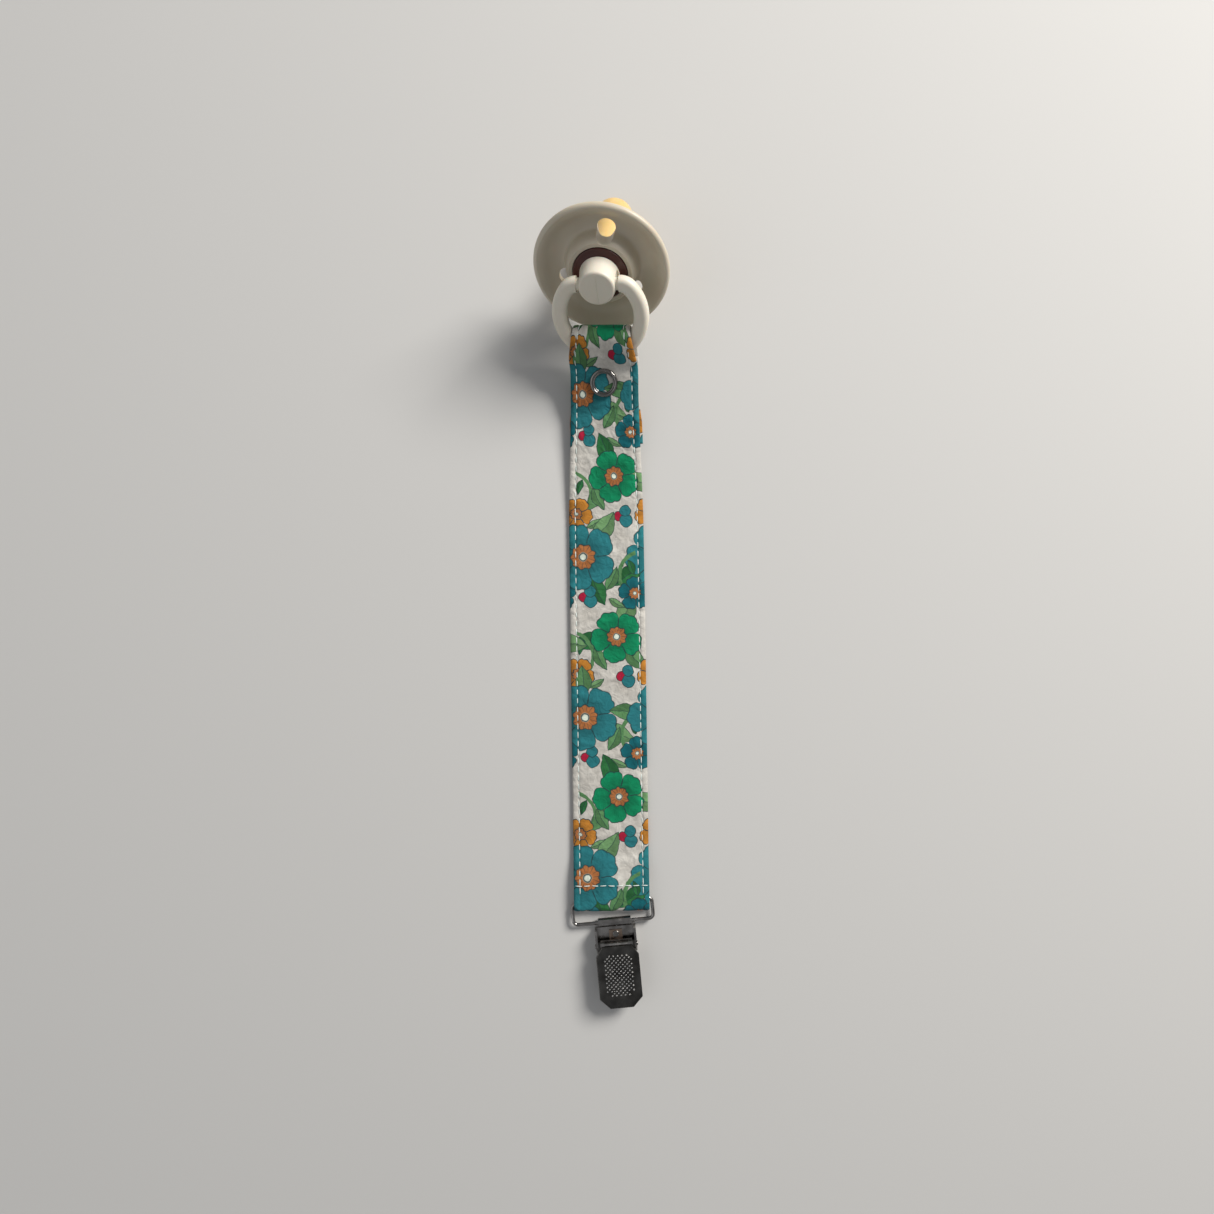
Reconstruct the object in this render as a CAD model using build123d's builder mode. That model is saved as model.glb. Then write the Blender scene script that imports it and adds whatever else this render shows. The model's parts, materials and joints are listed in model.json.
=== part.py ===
"""A natural-rubber pacifier on a printed fabric strap with a metal suspender clip.

Millimetres, +Z up. The origin is the middle of the clip's flat back, which lies on the floor;
+Y runs along the strap from the clip to the pacifier, +X to the right as seen from above.
"""

import os
from math import atan2, cos, degrees, radians, sin, sqrt, tan

from build123d import *

os.makedirs("parts", exist_ok=True)

# ---------------------------------------------------------------- driving dimensions
# shield
shield_radius = 21.5          # to the outside of the rim bead
shield_bead = 1.25            # radius of the rim bead
shield_wall = 1.9
dish_depth = 4.6              # rim plane to the valley where the vents are
vent_radius = 2.85
vent_circle = 12.3
web_bottom = -2.6             # the flat web that the teat is clamped to, from the rim plane
web_top = 1.0
collar_top = 2.4              # low collar round the dark disc

# teat, disc, plug and knob
hole_radius = 7.0             # hole in the shield's web
swivel_clearance = 0.05
teat_bulb_radius = 6.8
teat_bulb_depth = 27.5        # rim plane back to the middle of the bulb
teat_neck_radius = 5.2
teat_wall = 1.3
teat_foot_radius = 8.2
flange_radius = 8.3
flange_thickness = 0.9
disc_radius = 8.56
disc_edge = 0.85
disc_dome = 1.1
stem_radius = 4.0
knob_base_radius = 6.4
knob_face_radius = 5.6
knob_face = 10.6              # height of the flat face above the rim plane
plug_radius = 2.2

# ring
pivot_height = 7.7            # ring pivot above the rim plane
ring_radius = 13.05           # centre line
ring_drop = 9.9               # pivot to the ring's centre
ring_width = 4.8
ring_depth = 4.2
ring_corner = 4.0             # bend between the round and the straight bar
bar_radius = 1.9
hinge_clearance = 0.05

# how the pacifier stands: leaning on the teat, turned a little, the ring folded out a little
tilt = 55.5
turn = 10.6
ring_turn = 11.7              # ring and knob, turned in the shield
ring_swing = 9.8              # ring, out of the shield's plane

# strap
strap_width = 25.4
strap_top_width = 22.4
strap_thickness = 1.6
bar_to_ring = 181.7           # wire in the hem to the lowest point of the ring
sleeve_wall = 1.2
sleeve_gap = 0.35             # fabric to ring
sleeve_reach = 5.9            # length of the sleeve's straight sides, up the ring
sleeve_top_width = 18.6
sleeve_clearance = 0.08
flap_thickness = 1.2
flap_length = 28.0
hem_width = 25.0
hem_below = 3.7               # hem end, past the wire
hem_above = 7.0
hem_layer = 0.7
hem_slack = 0.4
seam_inset = 2.1
thread = 0.35
cross_seam = 4.4              # above the wire

# snap
snap_place = 8.9              # from the ring's lowest point, down the strap
snap_ring_radius = 4.6
snap_ring_opening = 2.95
snap_ring_height = 0.7
snap_prongs = 5
snap_prong_radius = 0.3
socket_radius = 4.3
socket_height = 1.5
stud_radius = 1.9
stud_height = 1.1
stud_base = 0.4
snap_clearance = 0.1

# wire loop
wire_radius = 0.6
loop_outer_width = 28.2
loop_pitch = 7.1              # bar to bar
loop_corner = 1.6
loop_angle = 4.5              # loop and clip, turned from the strap's line

# clip
clip_half = 13.4              # origin to the barrel
clip_length = 27.2            # barrel to the free end
clip_slide = 0.3              # clip, moved along the wire
base_width = 13.0
base_thickness = 0.8
wall_thickness = 0.7
walls_width = 13.7
barrel_radius = 1.5
barrel_length = 11.0
barrel_clearance = 0.05
pin_from_barrel = 7.0
pin_height = 3.6
pin_radius = 0.8
pin_head = 0.35
ear_rise = 1.15               # side walls, above the pin's middle
ear_gap = 0.1
lever_width = 14.3
lever_thickness = 0.7
lever_bottom = 4.95
lever_overhang = 0.2          # past the pin's middle, towards the strap
lever_neck = 10.0             # width of the lever's end at the pin
lever_neck_length = 3.2       # the neck's taper, out to the full width
lever_corner = 3.3
knurl_border = 1.7
knurl_pitch = 1.45
knurl_size = 0.88
knurl_height = 0.3
jaw_width = 9.0
jaw_thickness = 0.5
jaw_bottom = 2.0
jaw_tail = 1.2
pad_thickness = 0.6
pad_length = 5.0
bite_gap = 0.1
spring_thickness = 0.3
spring_width = 4.4
rivet_radius = 1.1
rivet_height = 0.35


def save(part, name):
    """Label a finished piece and write it as its own STEP file."""
    part.label = name
    export_step(part, f"parts/{name}.step")


# ---------------------------------------------------------------- frames
loop_rad = radians(loop_angle)
clip_x = Vector(cos(loop_rad), sin(loop_rad), 0)
clip_up = Vector(-sin(loop_rad), cos(loop_rad), 0)      # clip's long direction, to the strap
clip_frame = Plane(origin=(0, 0, 0), x_dir=clip_x, z_dir=(0, 0, 1))
clip_side = Plane(origin=(0, 0, 0), x_dir=clip_up, z_dir=clip_x)     # sketch x = along, y = up
barrel_height = barrel_radius
hem_height = 2 * (wire_radius + hem_layer) + hem_slack
lower_bar = clip_frame.from_local_coords(Vector(0, clip_half, barrel_height))
upper_bar = clip_frame.from_local_coords(
    Vector(-clip_slide, clip_half + loop_pitch, hem_height / 2)
)
strap_x = upper_bar.X

# the pacifier's own directions: n out of the ring side, up and side in the rim plane
t, a, r = radians(tilt), radians(turn), radians(ring_turn)
n = Vector(-sin(t) * sin(a), -sin(t) * cos(a), cos(t))
up = Vector(cos(t) * sin(a), cos(t) * cos(a), sin(t))
side = up.cross(n)
pivot_dir = side * cos(r) + up * sin(r)
fall = side * sin(r) - up * cos(r)
swing = radians(ring_swing)
ring_down = fall * cos(swing) + n * sin(swing)
ring_out = pivot_dir.cross(ring_down) * -1
rim_height = teat_bulb_radius + teat_bulb_depth * cos(t)
pivot_z = rim_height + pivot_height * n.Z
ring_bottom_z = pivot_z + (ring_drop + ring_radius) * ring_down.Z
prong_circle = (snap_ring_radius + snap_ring_opening) / 2
ring_bottom = Vector(strap_x, upper_bar.Y + bar_to_ring, ring_bottom_z)
pivot = ring_bottom - ring_down * (ring_drop + ring_radius)
rim_centre = pivot - n * pivot_height

axis_line = Axis(rim_centre, n)
rim_plane = Plane(origin=rim_centre, x_dir=side, z_dir=n)
section_plane = Plane(origin=rim_centre, x_dir=side, z_dir=up * -1)  # sketch x = radius, y = n
knob_plane = Plane(origin=rim_centre, x_dir=pivot_dir, z_dir=n)
ring_plane = Plane(origin=pivot, x_dir=pivot_dir, z_dir=ring_out)    # sketch y = up the ring
pivot_plane = Plane(origin=pivot, x_dir=ring_out, z_dir=pivot_dir)
sleeve_plane = Plane(origin=ring_bottom, x_dir=ring_down * -1, z_dir=pivot_dir)


# ---------------------------------------------------------------- shield
valley = -dish_depth
bead_middle = shield_radius - shield_bead
collar_radius = disc_radius + 0.25
collar_wall = 1.1
with BuildPart() as shield:
    with BuildSketch(section_plane):
        with BuildLine():
            inner = Spline(
                (bead_middle, shield_bead),
                (vent_circle + 3.4, valley * 0.55),
                (vent_circle, valley * 0.62),
                (collar_radius + collar_wall, collar_top),
                tangents=[(-1, -0.55), (-1, 0.9)],
            )
            Polyline(
                inner @ 1,
                (collar_radius, collar_top),
                (collar_radius, web_top),
                (hole_radius, web_top),
                (hole_radius, web_bottom),
                (collar_radius + collar_wall, web_bottom),
            )
            outer = Spline(
                (collar_radius + collar_wall, web_bottom),
                (vent_circle, valley * 0.62 - shield_wall),
                (vent_circle + 3.4, valley * 0.55 - shield_wall),
                (bead_middle, -shield_bead),
                tangents=[(1, -0.75), (1, 0.55)],
            )
            ThreePointArc(outer @ 1, (shield_radius, 0), inner @ 0)
        make_face()
    revolve(axis=axis_line)
    with BuildSketch(rim_plane):
        with PolarLocations(vent_circle, 3, start_angle=90):
            Circle(vent_radius)
    extrude(amount=2 * dish_depth, both=True, mode=Mode.SUBTRACT)
save(shield.part, "shield")

# ---------------------------------------------------------------- teat
flange_bottom = web_top + swivel_clearance
flange_top = flange_bottom + flange_thickness
foot_top = web_bottom - swivel_clearance
neck_outer = hole_radius - swivel_clearance
waist = -(dish_depth + 9.5)
bulb_end = -(teat_bulb_depth + teat_bulb_radius)
with BuildPart() as teat:
    with BuildSketch(section_plane):
        with BuildLine():
            body = Spline(
                (teat_foot_radius, foot_top - 1.2),
                (teat_neck_radius, waist),
                (teat_bulb_radius, -teat_bulb_depth),
                (0, bulb_end),
                tangents=[(-0.9, -1), (-1, 0)],
            )
            Polyline(
                body @ 1,
                (0, bulb_end + teat_wall),
            )
            lining = Spline(
                (0, bulb_end + teat_wall),
                (teat_bulb_radius - teat_wall, -teat_bulb_depth),
                (teat_neck_radius - teat_wall, waist),
                (stem_radius, foot_top - 3.4),
                tangents=[(1, 0), (0.1, 1)],
            )
            Polyline(
                lining @ 1,
                (stem_radius, flange_top),
                (flange_radius, flange_top),
                (flange_radius, flange_bottom),
                (neck_outer, flange_bottom),
                (neck_outer, foot_top),
                (teat_foot_radius, foot_top),
                body @ 0,
            )
        make_face()
    revolve(axis=axis_line)
save(teat.part, "teat")

# ---------------------------------------------------------------- disc, knob and plug
disc_top = flange_top + disc_edge
knob_bottom = disc_top + disc_dome * 0.6
with BuildPart() as retaining_disc:
    with BuildSketch(section_plane):
        with BuildLine():
            Polyline(
                (disc_radius, disc_top - 0.25),
                (disc_radius, flange_top),
                (stem_radius, flange_top),
                (stem_radius, knob_bottom),
                (knob_base_radius - 1, knob_bottom),
            )
            Spline(
                (knob_base_radius - 1, knob_bottom),
                (disc_radius - 0.4, disc_top),
                (disc_radius, disc_top - 0.25),
                tangents=[(1, -0.1), (0, -1)],
            )
        make_face()
    revolve(axis=axis_line)
save(retaining_disc.part, "retaining_disc")

stem_end = foot_top - 2.4
with BuildPart() as knob:
    with BuildSketch(section_plane):
        with BuildLine():
            Polyline(
                (0, stem_end),
                (stem_radius, stem_end),
                (stem_radius, knob_bottom),
                (knob_base_radius, knob_bottom),
                (knob_face_radius, knob_face),
                (0, knob_face),
                (0, stem_end),
            )
        make_face()
    revolve(axis=axis_line)
    face_edge = [
        e for e in knob.edges().filter_by(GeomType.CIRCLE)
        if abs(e.radius - knob_face_radius) < 0.01
    ]
    fillet(face_edge, 0.9)
    # fine moulded parting rib, across the face and square to the ring's bar
    with BuildSketch(knob_plane.offset(knob_face - 0.2)):
        Rectangle(0.3, 2 * (knob_face_radius - 0.9))
    extrude(amount=0.3)
    # the bar's bore, and the notches that the ring's arms are pressed in through
    with BuildSketch(pivot_plane):
        Circle(bar_radius + hinge_clearance)
    extrude(amount=knob_base_radius + 1, both=True, mode=Mode.SUBTRACT)
    with BuildSketch(knob_plane.offset(knob_bottom + 0.7)):
        for way in (-1, 1):
            with Locations((way * knob_base_radius, 0)):
                Rectangle(1.7, 2 * bar_radius + 1.0)
    extrude(amount=knob_face - knob_bottom - 2.4, mode=Mode.SUBTRACT)
    # socket for the lock plug, from the teat's side
    with BuildSketch(knob_plane.offset(stem_end)):
        Circle(plug_radius)
    extrude(amount=4.5, mode=Mode.SUBTRACT)
save(knob.part, "knob")

with BuildPart() as lock_plug:
    with BuildSketch(knob_plane.offset(stem_end)):
        Circle(plug_radius)
    extrude(amount=4.2)
    with BuildSketch(knob_plane.offset(stem_end)):
        Circle(teat_neck_radius - teat_wall - 0.2)
    extrude(amount=-1.2)
save(lock_plug.part, "lock_plug")

# ---------------------------------------------------------------- ring
corner_x = sqrt((ring_radius - ring_corner) ** 2 - (ring_drop - ring_corner) ** 2)
touch = ring_radius / (ring_radius - ring_corner)
touch_x = corner_x * touch
touch_y = -ring_drop + (ring_drop - ring_corner) * touch
arm_start = knob_base_radius + 0.25
mid = radians(90 - 0.5 * degrees(atan2(corner_x, ring_drop - ring_corner)))
with BuildPart() as ring:
    with BuildLine(ring_plane):
        Line((arm_start, 0), (corner_x, 0))
        bend = ThreePointArc(
            (corner_x, 0),
            (corner_x + ring_corner * cos(mid), -ring_corner + ring_corner * sin(mid)),
            (touch_x, touch_y),
        )
        ThreePointArc((touch_x, touch_y), (0, -ring_drop - ring_radius), (-touch_x, touch_y))
        ThreePointArc(
            (-touch_x, touch_y),
            (-corner_x - ring_corner * cos(mid), -ring_corner + ring_corner * sin(mid)),
            (-corner_x, 0),
        )
        Line((-corner_x, 0), (-arm_start, 0))
    with BuildSketch(Plane(origin=pivot + pivot_dir * arm_start, x_dir=ring_out, z_dir=pivot_dir)):
        RectangleRounded(ring_depth, ring_width, 1.7)
    sweep()
    with BuildSketch(pivot_plane):
        Circle(bar_radius)
    extrude(amount=arm_start + 0.5, both=True)
save(ring.part, "ring")

# ---------------------------------------------------------------- strap, as stations
# each station: distance down the strap from the ring's lowest point, height of the middle
# of the cloth, and how much of the ring's slant and of the narrowing is left there
bar_slant = degrees(atan2(pivot_dir.Z, pivot_dir.X))
sleeve_outer = ring_width / 2 + sleeve_gap + sleeve_wall
sleeve_inner = ring_width / 2 + sleeve_gap
lying = strap_thickness / 2 + 0.05
hem_top_middle = hem_height - strap_thickness / 2
strap_end = bar_to_ring - hem_above
rise = ring_bottom_z
snap_z = rise - 2.3


def blend(u):
    """Smooth step from 1 to 0."""
    u = min(max(u, 0.0), 1.0)
    return 1 - u * u * (3 - 2 * u)


# the strap is straight from the ring to past the snap, so that the snap sits flat on it
strap_fall = (rise + 0.45 - snap_z) / (snap_place - 2.2)
strap_run = [
    (2.2, rise + 0.45),
    (snap_place, snap_z),
    (17.0, snap_z - (17.0 - snap_place) * strap_fall),
    (27.0, snap_z * 0.40),
    (38.0, snap_z * 0.20 + 0.2),
    (52.0, lying),
    (0.5 * bar_to_ring, lying),
    (strap_end - 22, lying),
    (strap_end - 8, lying + 0.25 * (hem_top_middle - lying)),
    (strap_end - 1.5, hem_top_middle),
    (strap_end, hem_top_middle),
]
cloth_gap = socket_height + snap_clearance + stud_base
flap_offset = strap_thickness / 2 + cloth_gap + flap_thickness / 2


def station(run, i, half_thick=0.0, across=0.0, level=False):
    """Plane across the cloth at one station, moved up by half_thick and sideways by across."""
    down, height = run[i][:2]
    before, after = run[max(i - 1, 0)], run[min(i + 1, len(run) - 1)]
    along = Vector(0, before[0] - after[0], after[1] - before[1]).normalized()
    slant = 0 if level else radians(bar_slant * blend((down - 4) / 40))
    width_dir = Vector(cos(slant), 0, sin(slant))
    normal = width_dir.cross(along).normalized()
    if normal.Z < 0:
        normal = normal * -1
    width_dir = along.cross(normal).normalized()
    if width_dir.X < 0:
        width_dir = width_dir * -1
    origin = Vector(strap_x, ring_bottom.Y - down, height)
    origin = origin + normal * half_thick + width_dir * across
    return Plane(origin=origin, x_dir=width_dir, z_dir=along)


def width_at(down):
    """Cloth is squeezed narrow at the ring and full width lower down."""
    return strap_width - (strap_width - strap_top_width) * blend((down - 4) / 60)


snap_station = station(strap_run, 1)
snap_normal = snap_station.x_dir.cross(snap_station.z_dir)
if snap_normal.Z < 0:
    snap_normal = snap_normal * -1
snap_plane = Plane(origin=snap_station.origin, x_dir=snap_station.x_dir, z_dir=snap_normal)
snap_top = strap_thickness / 2
flap_slope = (strap_run[0][1] - strap_run[2][1]) / (strap_run[2][0] - strap_run[0][0])
flap_reach = 5.2
# the flap's stations: the first three run parallel to the strap, the others lie on the floor
flap_run = [
    (snap_place - flap_reach, snap_z + flap_reach * flap_slope, -flap_offset),
    (snap_place, snap_z, -flap_offset),
    (snap_place + flap_reach, snap_z - flap_reach * flap_slope, -flap_offset),
    (snap_place + 2 * flap_reach + 1, flap_thickness / 2 + 0.25, 0),
    (flap_length, flap_thickness / 2 + 0.05, 0),
]

with BuildPart() as strap_front:
    for i, (down, _) in enumerate(strap_run):
        with BuildSketch(station(strap_run, i)):
            Rectangle(width_at(down), strap_thickness)
    loft(ruled=True)
    with BuildSketch(Plane(origin=ring_bottom, x_dir=ring_down, z_dir=pivot_dir)):
        Circle(sleeve_outer + sleeve_clearance)
    extrude(amount=strap_width, both=True, mode=Mode.SUBTRACT)
    with BuildSketch(snap_plane):
        with PolarLocations(prong_circle, snap_prongs):
            Circle(snap_prong_radius)
    extrude(amount=2 * strap_thickness, both=True, mode=Mode.SUBTRACT)
save(strap_front.part, "strap_front")

with BuildPart() as strap_flap:
    for i, (down, _, lift) in enumerate(flap_run):
        with BuildSketch(station(flap_run, i, lift, level=i > 2)):
            Rectangle(width_at(down) - 0.4, flap_thickness)
    loft(ruled=True)
    with BuildSketch(Plane(origin=ring_bottom, x_dir=ring_down, z_dir=pivot_dir)):
        Circle(sleeve_outer + sleeve_clearance)
    extrude(amount=strap_width, both=True, mode=Mode.SUBTRACT)
    with BuildSketch(snap_plane.offset(-flap_offset)):
        with PolarLocations(prong_circle, snap_prongs):
            Circle(snap_prong_radius)
    extrude(amount=2 * flap_thickness, both=True, mode=Mode.SUBTRACT)
save(strap_flap.part, "strap_flap")

# the fold of cloth round the lower half of the ring
with BuildPart() as strap_loop:
    with BuildSketch(sleeve_plane):
        with Locations((sleeve_reach / 2, 0)):
            SlotOverall(sleeve_reach + 2 * sleeve_outer, 2 * sleeve_outer)
            SlotOverall(sleeve_reach + 2 * sleeve_inner, 2 * sleeve_inner, mode=Mode.SUBTRACT)
    extrude(amount=strap_top_width / 2, both=True)
    with BuildSketch(Plane(origin=ring_bottom, x_dir=pivot_dir, z_dir=ring_out)):
        with BuildLine():
            top = sleeve_reach + sleeve_outer + 1
            low = -sleeve_outer - 1
            wide, narrow = strap_top_width / 2, sleeve_top_width / 2
            Polyline(
                (-wide, low), (wide, low), (wide, 0), (narrow, top),
                (-narrow, top), (-wide, 0), (-wide, low),
            )
        make_face()
    extrude(amount=2 * sleeve_outer, both=True, mode=Mode.INTERSECT)
save(strap_loop.part, "strap_loop")

# the hem: a flat pocket with a channel for the wire, long enough for the slanted bar
channel_length = 2.8 * wire_radius + hem_width * tan(loop_rad) + 2 * hem_slack
channel_height = 2 * wire_radius + hem_slack
with BuildPart() as strap_hem:
    with BuildSketch(Plane.YZ.offset(strap_x - hem_width / 2)):
        with Locations((upper_bar.Y + (hem_above - hem_below) / 2, hem_height / 2)):
            RectangleRounded(hem_above + hem_below, hem_height, 0.4)
        with Locations((upper_bar.Y, upper_bar.Z)):
            RectangleRounded(channel_length, channel_height, 0.3, mode=Mode.SUBTRACT)
    extrude(amount=hem_width)
save(strap_hem.part, "strap_hem")

# ---------------------------------------------------------------- seams of thread
for name, way in (("left_seam_thread", -1), ("right_seam_thread", 1)):
    with BuildPart() as seam:
        for i, (down, _) in enumerate(strap_run[1:], start=1):
            offset_across = way * (width_at(down) / 2 - seam_inset)
            lift = strap_thickness / 2 + thread / 2
            with BuildSketch(station(strap_run, i, lift, offset_across)):
                Rectangle(thread, thread)
        loft(ruled=True)
    save(seam.part, name)

with BuildPart() as cross_seam_thread:
    with BuildSketch(Plane.XY.offset(hem_height)):
        with Locations((strap_x, upper_bar.Y + cross_seam)):
            Rectangle(hem_width - 0.6, 2 * thread)
    extrude(amount=thread)
save(cross_seam_thread.part, "cross_seam_thread")


# ---------------------------------------------------------------- snap


def prong_ring(face, out):
    """Open ring with short prongs that pierce the cloth; face is the cloth's outside plane."""
    with BuildPart() as made:
        with BuildSketch(face):
            Circle(snap_ring_radius)
            Circle(snap_ring_opening, mode=Mode.SUBTRACT)
        extrude(amount=out * snap_ring_height)
        rounded = [
            e for e in made.edges().filter_by(GeomType.CIRCLE)
            if abs(face.to_local_coords(e.arc_center).Z) > snap_ring_height / 2
        ]
        fillet(rounded, snap_ring_height * 0.45)
        with BuildSketch(face):
            with PolarLocations(prong_circle, snap_prongs):
                Circle(snap_prong_radius)
        depth = strap_thickness if out > 0 else flap_thickness
        extrude(amount=-out * depth)
    return made.part


save(prong_ring(snap_plane.offset(snap_top), 1), "snap_front_ring")
rear_face = -flap_offset - flap_thickness / 2
save(prong_ring(snap_plane.offset(rear_face), -1), "snap_rear_ring")

with BuildPart() as snap_socket:
    with BuildSketch(snap_plane.offset(-snap_top)):
        Circle(socket_radius)
    extrude(amount=-socket_height)
    lip = [
        e for e in snap_socket.edges().filter_by(GeomType.CIRCLE)
        if snap_plane.to_local_coords(e.arc_center).Z < -snap_top - 0.5
    ]
    fillet(lip, 0.5)
    with BuildSketch(snap_plane.offset(-snap_top - socket_height)):
        Circle(stud_radius + snap_clearance)
    extrude(amount=stud_height + snap_clearance, mode=Mode.SUBTRACT)
save(snap_socket.part, "snap_socket")

stud_floor = -flap_offset + flap_thickness / 2
with BuildPart() as snap_stud:
    with BuildSketch(snap_plane.offset(stud_floor)):
        Circle(socket_radius)
    extrude(amount=stud_base)
    with BuildSketch(snap_plane.offset(stud_floor + stud_base)):
        Circle(stud_radius)
    extrude(amount=stud_height)
    tip = [
        e for e in snap_stud.edges().filter_by(GeomType.CIRCLE)
        if snap_plane.to_local_coords(e.arc_center).Z > stud_floor + stud_base + 0.5
    ]
    fillet(tip, 0.35)
save(snap_stud.part, "snap_stud")

# ---------------------------------------------------------------- wire loop
loop_half = loop_outer_width / 2 - wire_radius
bar_drop = lower_bar.Z - upper_bar.Z
loop_slope = Plane(
    origin=upper_bar,
    x_dir=clip_x,
    z_dir=clip_x.cross(clip_up * loop_pitch - Vector(0, 0, bar_drop)).normalized(),
)
loop_reach = sqrt(loop_pitch**2 + bar_drop**2)
with BuildPart() as wire_loop:
    with BuildLine(loop_slope) as loop_line:
        FilletPolyline(
            (loop_half, 0), (loop_half, -loop_reach), (-loop_half, -loop_reach),
            (-loop_half, 0), radius=loop_corner, close=True,
        )
    with BuildSketch(loop_line.line ^ 0):
        Circle(wire_radius)
    sweep()
save(wire_loop.part, "wire_loop")

# ---------------------------------------------------------------- clip base
free_end = clip_half - clip_length
pin_along = clip_half - pin_from_barrel
walls_start = clip_half - 1.9
wall_top = pin_height + ear_rise
with BuildPart() as clip_base:
    with BuildSketch(clip_frame):
        with BuildLine():
            half = base_width / 2
            Polyline(
                (-half, walls_start), (half, walls_start), (half, free_end + lever_corner),
                (half - lever_corner, free_end), (lever_corner - half, free_end),
                (-half, free_end + lever_corner), (-half, walls_start),
            )
        make_face()
    extrude(amount=base_thickness)
    # rolled barrel, joined to the plate
    with BuildSketch(clip_side):
        with Locations((clip_half, barrel_height)):
            Circle(barrel_radius)
        with Locations((clip_half - 1.4, base_thickness / 2)):
            Rectangle(2.8, base_thickness)
    extrude(amount=barrel_length / 2, both=True)
    with BuildSketch(clip_side):
        with Locations((clip_half, barrel_height)):
            Circle(wire_radius + barrel_clearance)
    extrude(amount=base_width, both=True, mode=Mode.SUBTRACT)
    # side walls with rounded ears for the pin
    for way in (-1, 1):
        face_x = way * walls_width / 2
        with BuildSketch(clip_side.offset(face_x)):
            with BuildLine():
                Polyline(
                    (walls_start, 0), (walls_start, wall_top - 0.7),
                    (walls_start - 0.9, wall_top), (pin_along - 0.2, wall_top),
                    (pin_along - ear_rise - 0.3, pin_height), (pin_along - 4.0, 0),
                    (walls_start, 0),
                )
            make_face()
            with Locations((pin_along, pin_height)):
                Circle(pin_radius, mode=Mode.SUBTRACT)
        extrude(amount=-way * wall_thickness)
save(clip_base.part, "clip_base")

# ---------------------------------------------------------------- lever
lever_start = pin_along + lever_overhang
lever_end = free_end - 0.2
lever_ear_x = walls_width / 2 - wall_thickness - ear_gap
lever_half = lever_width / 2
ear_sheet = 0.6
with BuildPart() as clip_lever:
    with BuildSketch(clip_frame.offset(lever_bottom)):
        with BuildLine():
            narrow = lever_neck / 2
            shoulder = lever_start - lever_neck_length
            Polyline(
                (-narrow, lever_start), (narrow, lever_start),
                (lever_half, shoulder), (lever_half, lever_end + lever_corner),
                (lever_half - lever_corner, lever_end), (lever_corner - lever_half, lever_end),
                (-lever_half, lever_end + lever_corner),
                (-lever_half, shoulder), (-narrow, lever_start),
            )
        make_face()
    extrude(amount=lever_thickness)
    top_rim = clip_lever.faces().sort_by(Axis.Z)[-1].edges()
    fillet(top_rim, 0.3)
    # raised knurl, staggered rows of small studs
    rows = int((lever_start - lever_end - 2 * knurl_border - lever_corner) / (knurl_pitch / 2))
    columns = int((lever_width - 2 * knurl_border) / knurl_pitch)
    knurl_top = lever_start - knurl_border - 1.4
    with BuildSketch(clip_frame.offset(lever_bottom + lever_thickness)):
        for row in range(rows):
            count = columns - row % 2
            if row < 1 or row > rows - 3:
                count -= 2
            with Locations((0, knurl_top - row * knurl_pitch / 2)):
                with GridLocations(knurl_pitch, knurl_pitch, count, 1):
                    Rectangle(knurl_size * 0.72, knurl_size * 0.72, rotation=45)
    extrude(amount=knurl_height, taper=28)
    # ears on the pin, and the nose that presses the jaw shut
    for way in (-1, 1):
        with BuildSketch(clip_side.offset(way * lever_ear_x)):
            with BuildLine():
                Polyline(
                    (pin_along + 0.9, pin_height - 0.9), (pin_along + 1.2, pin_height + 0.3),
                    (pin_along + 0.2, lever_bottom), (pin_along - 4.6, lever_bottom),
                    (pin_along - 1.3, pin_height - 1.0), (pin_along + 0.9, pin_height - 0.9),
                )
            make_face()
            with Locations((pin_along, pin_height)):
                Circle(pin_radius + hinge_clearance, mode=Mode.SUBTRACT)
        extrude(amount=-way * ear_sheet)
    nose_bottom = jaw_bottom + jaw_thickness + bite_gap
    with BuildSketch(clip_frame.offset(nose_bottom)):
        with Locations((0, pin_along - 3.4)):
            Rectangle(jaw_width - 2.5, 0.8)
    extrude(amount=lever_bottom - nose_bottom)
save(clip_lever.part, "clip_lever")

# ---------------------------------------------------------------- inner jaw
jaw_end = free_end + 1.4
jaw_ear_x = lever_ear_x - ear_sheet - ear_gap
with BuildPart() as clip_inner_jaw:
    with BuildSketch(clip_frame.offset(jaw_bottom)):
        with BuildLine():
            half = jaw_width / 2
            Polyline(
                (-half, pin_along + jaw_tail), (half, pin_along + jaw_tail),
                (half, jaw_end + 1.5), (half - 1.5, jaw_end), (1.5 - half, jaw_end),
                (-half, jaw_end + 1.5), (-half, pin_along + jaw_tail),
            )
        make_face()
    extrude(amount=jaw_thickness)
    # row of teeth along the biting end
    tooth_tip = base_thickness + pad_thickness + bite_gap
    teeth = 5
    tooth_pitch = (jaw_width - 3.0) / teeth
    with BuildSketch(clip_frame.offset(tooth_tip)):
        with Locations((0, jaw_end + 0.5)):
            with GridLocations(tooth_pitch, 1, teeth, 1):
                Rectangle(tooth_pitch * 0.6, 0.9)
    extrude(amount=jaw_bottom - tooth_tip)
    for way in (-1, 1):
        with BuildSketch(clip_side.offset(way * jaw_ear_x)):
            with BuildLine():
                Polyline(
                    (pin_along + jaw_tail, jaw_bottom), (pin_along + jaw_tail, pin_height),
                    (pin_along - jaw_tail, pin_height),
                    (pin_along - 3.0, jaw_bottom), (pin_along + jaw_tail, jaw_bottom),
                )
            make_face()
            with Locations((pin_along, pin_height)):
                Circle(jaw_tail)
            with Locations((pin_along, pin_height)):
                Circle(pin_radius + hinge_clearance, mode=Mode.SUBTRACT)
        extrude(amount=-way * (jaw_ear_x - jaw_width / 2 + 0.5))
save(clip_inner_jaw.part, "clip_inner_jaw")

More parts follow.
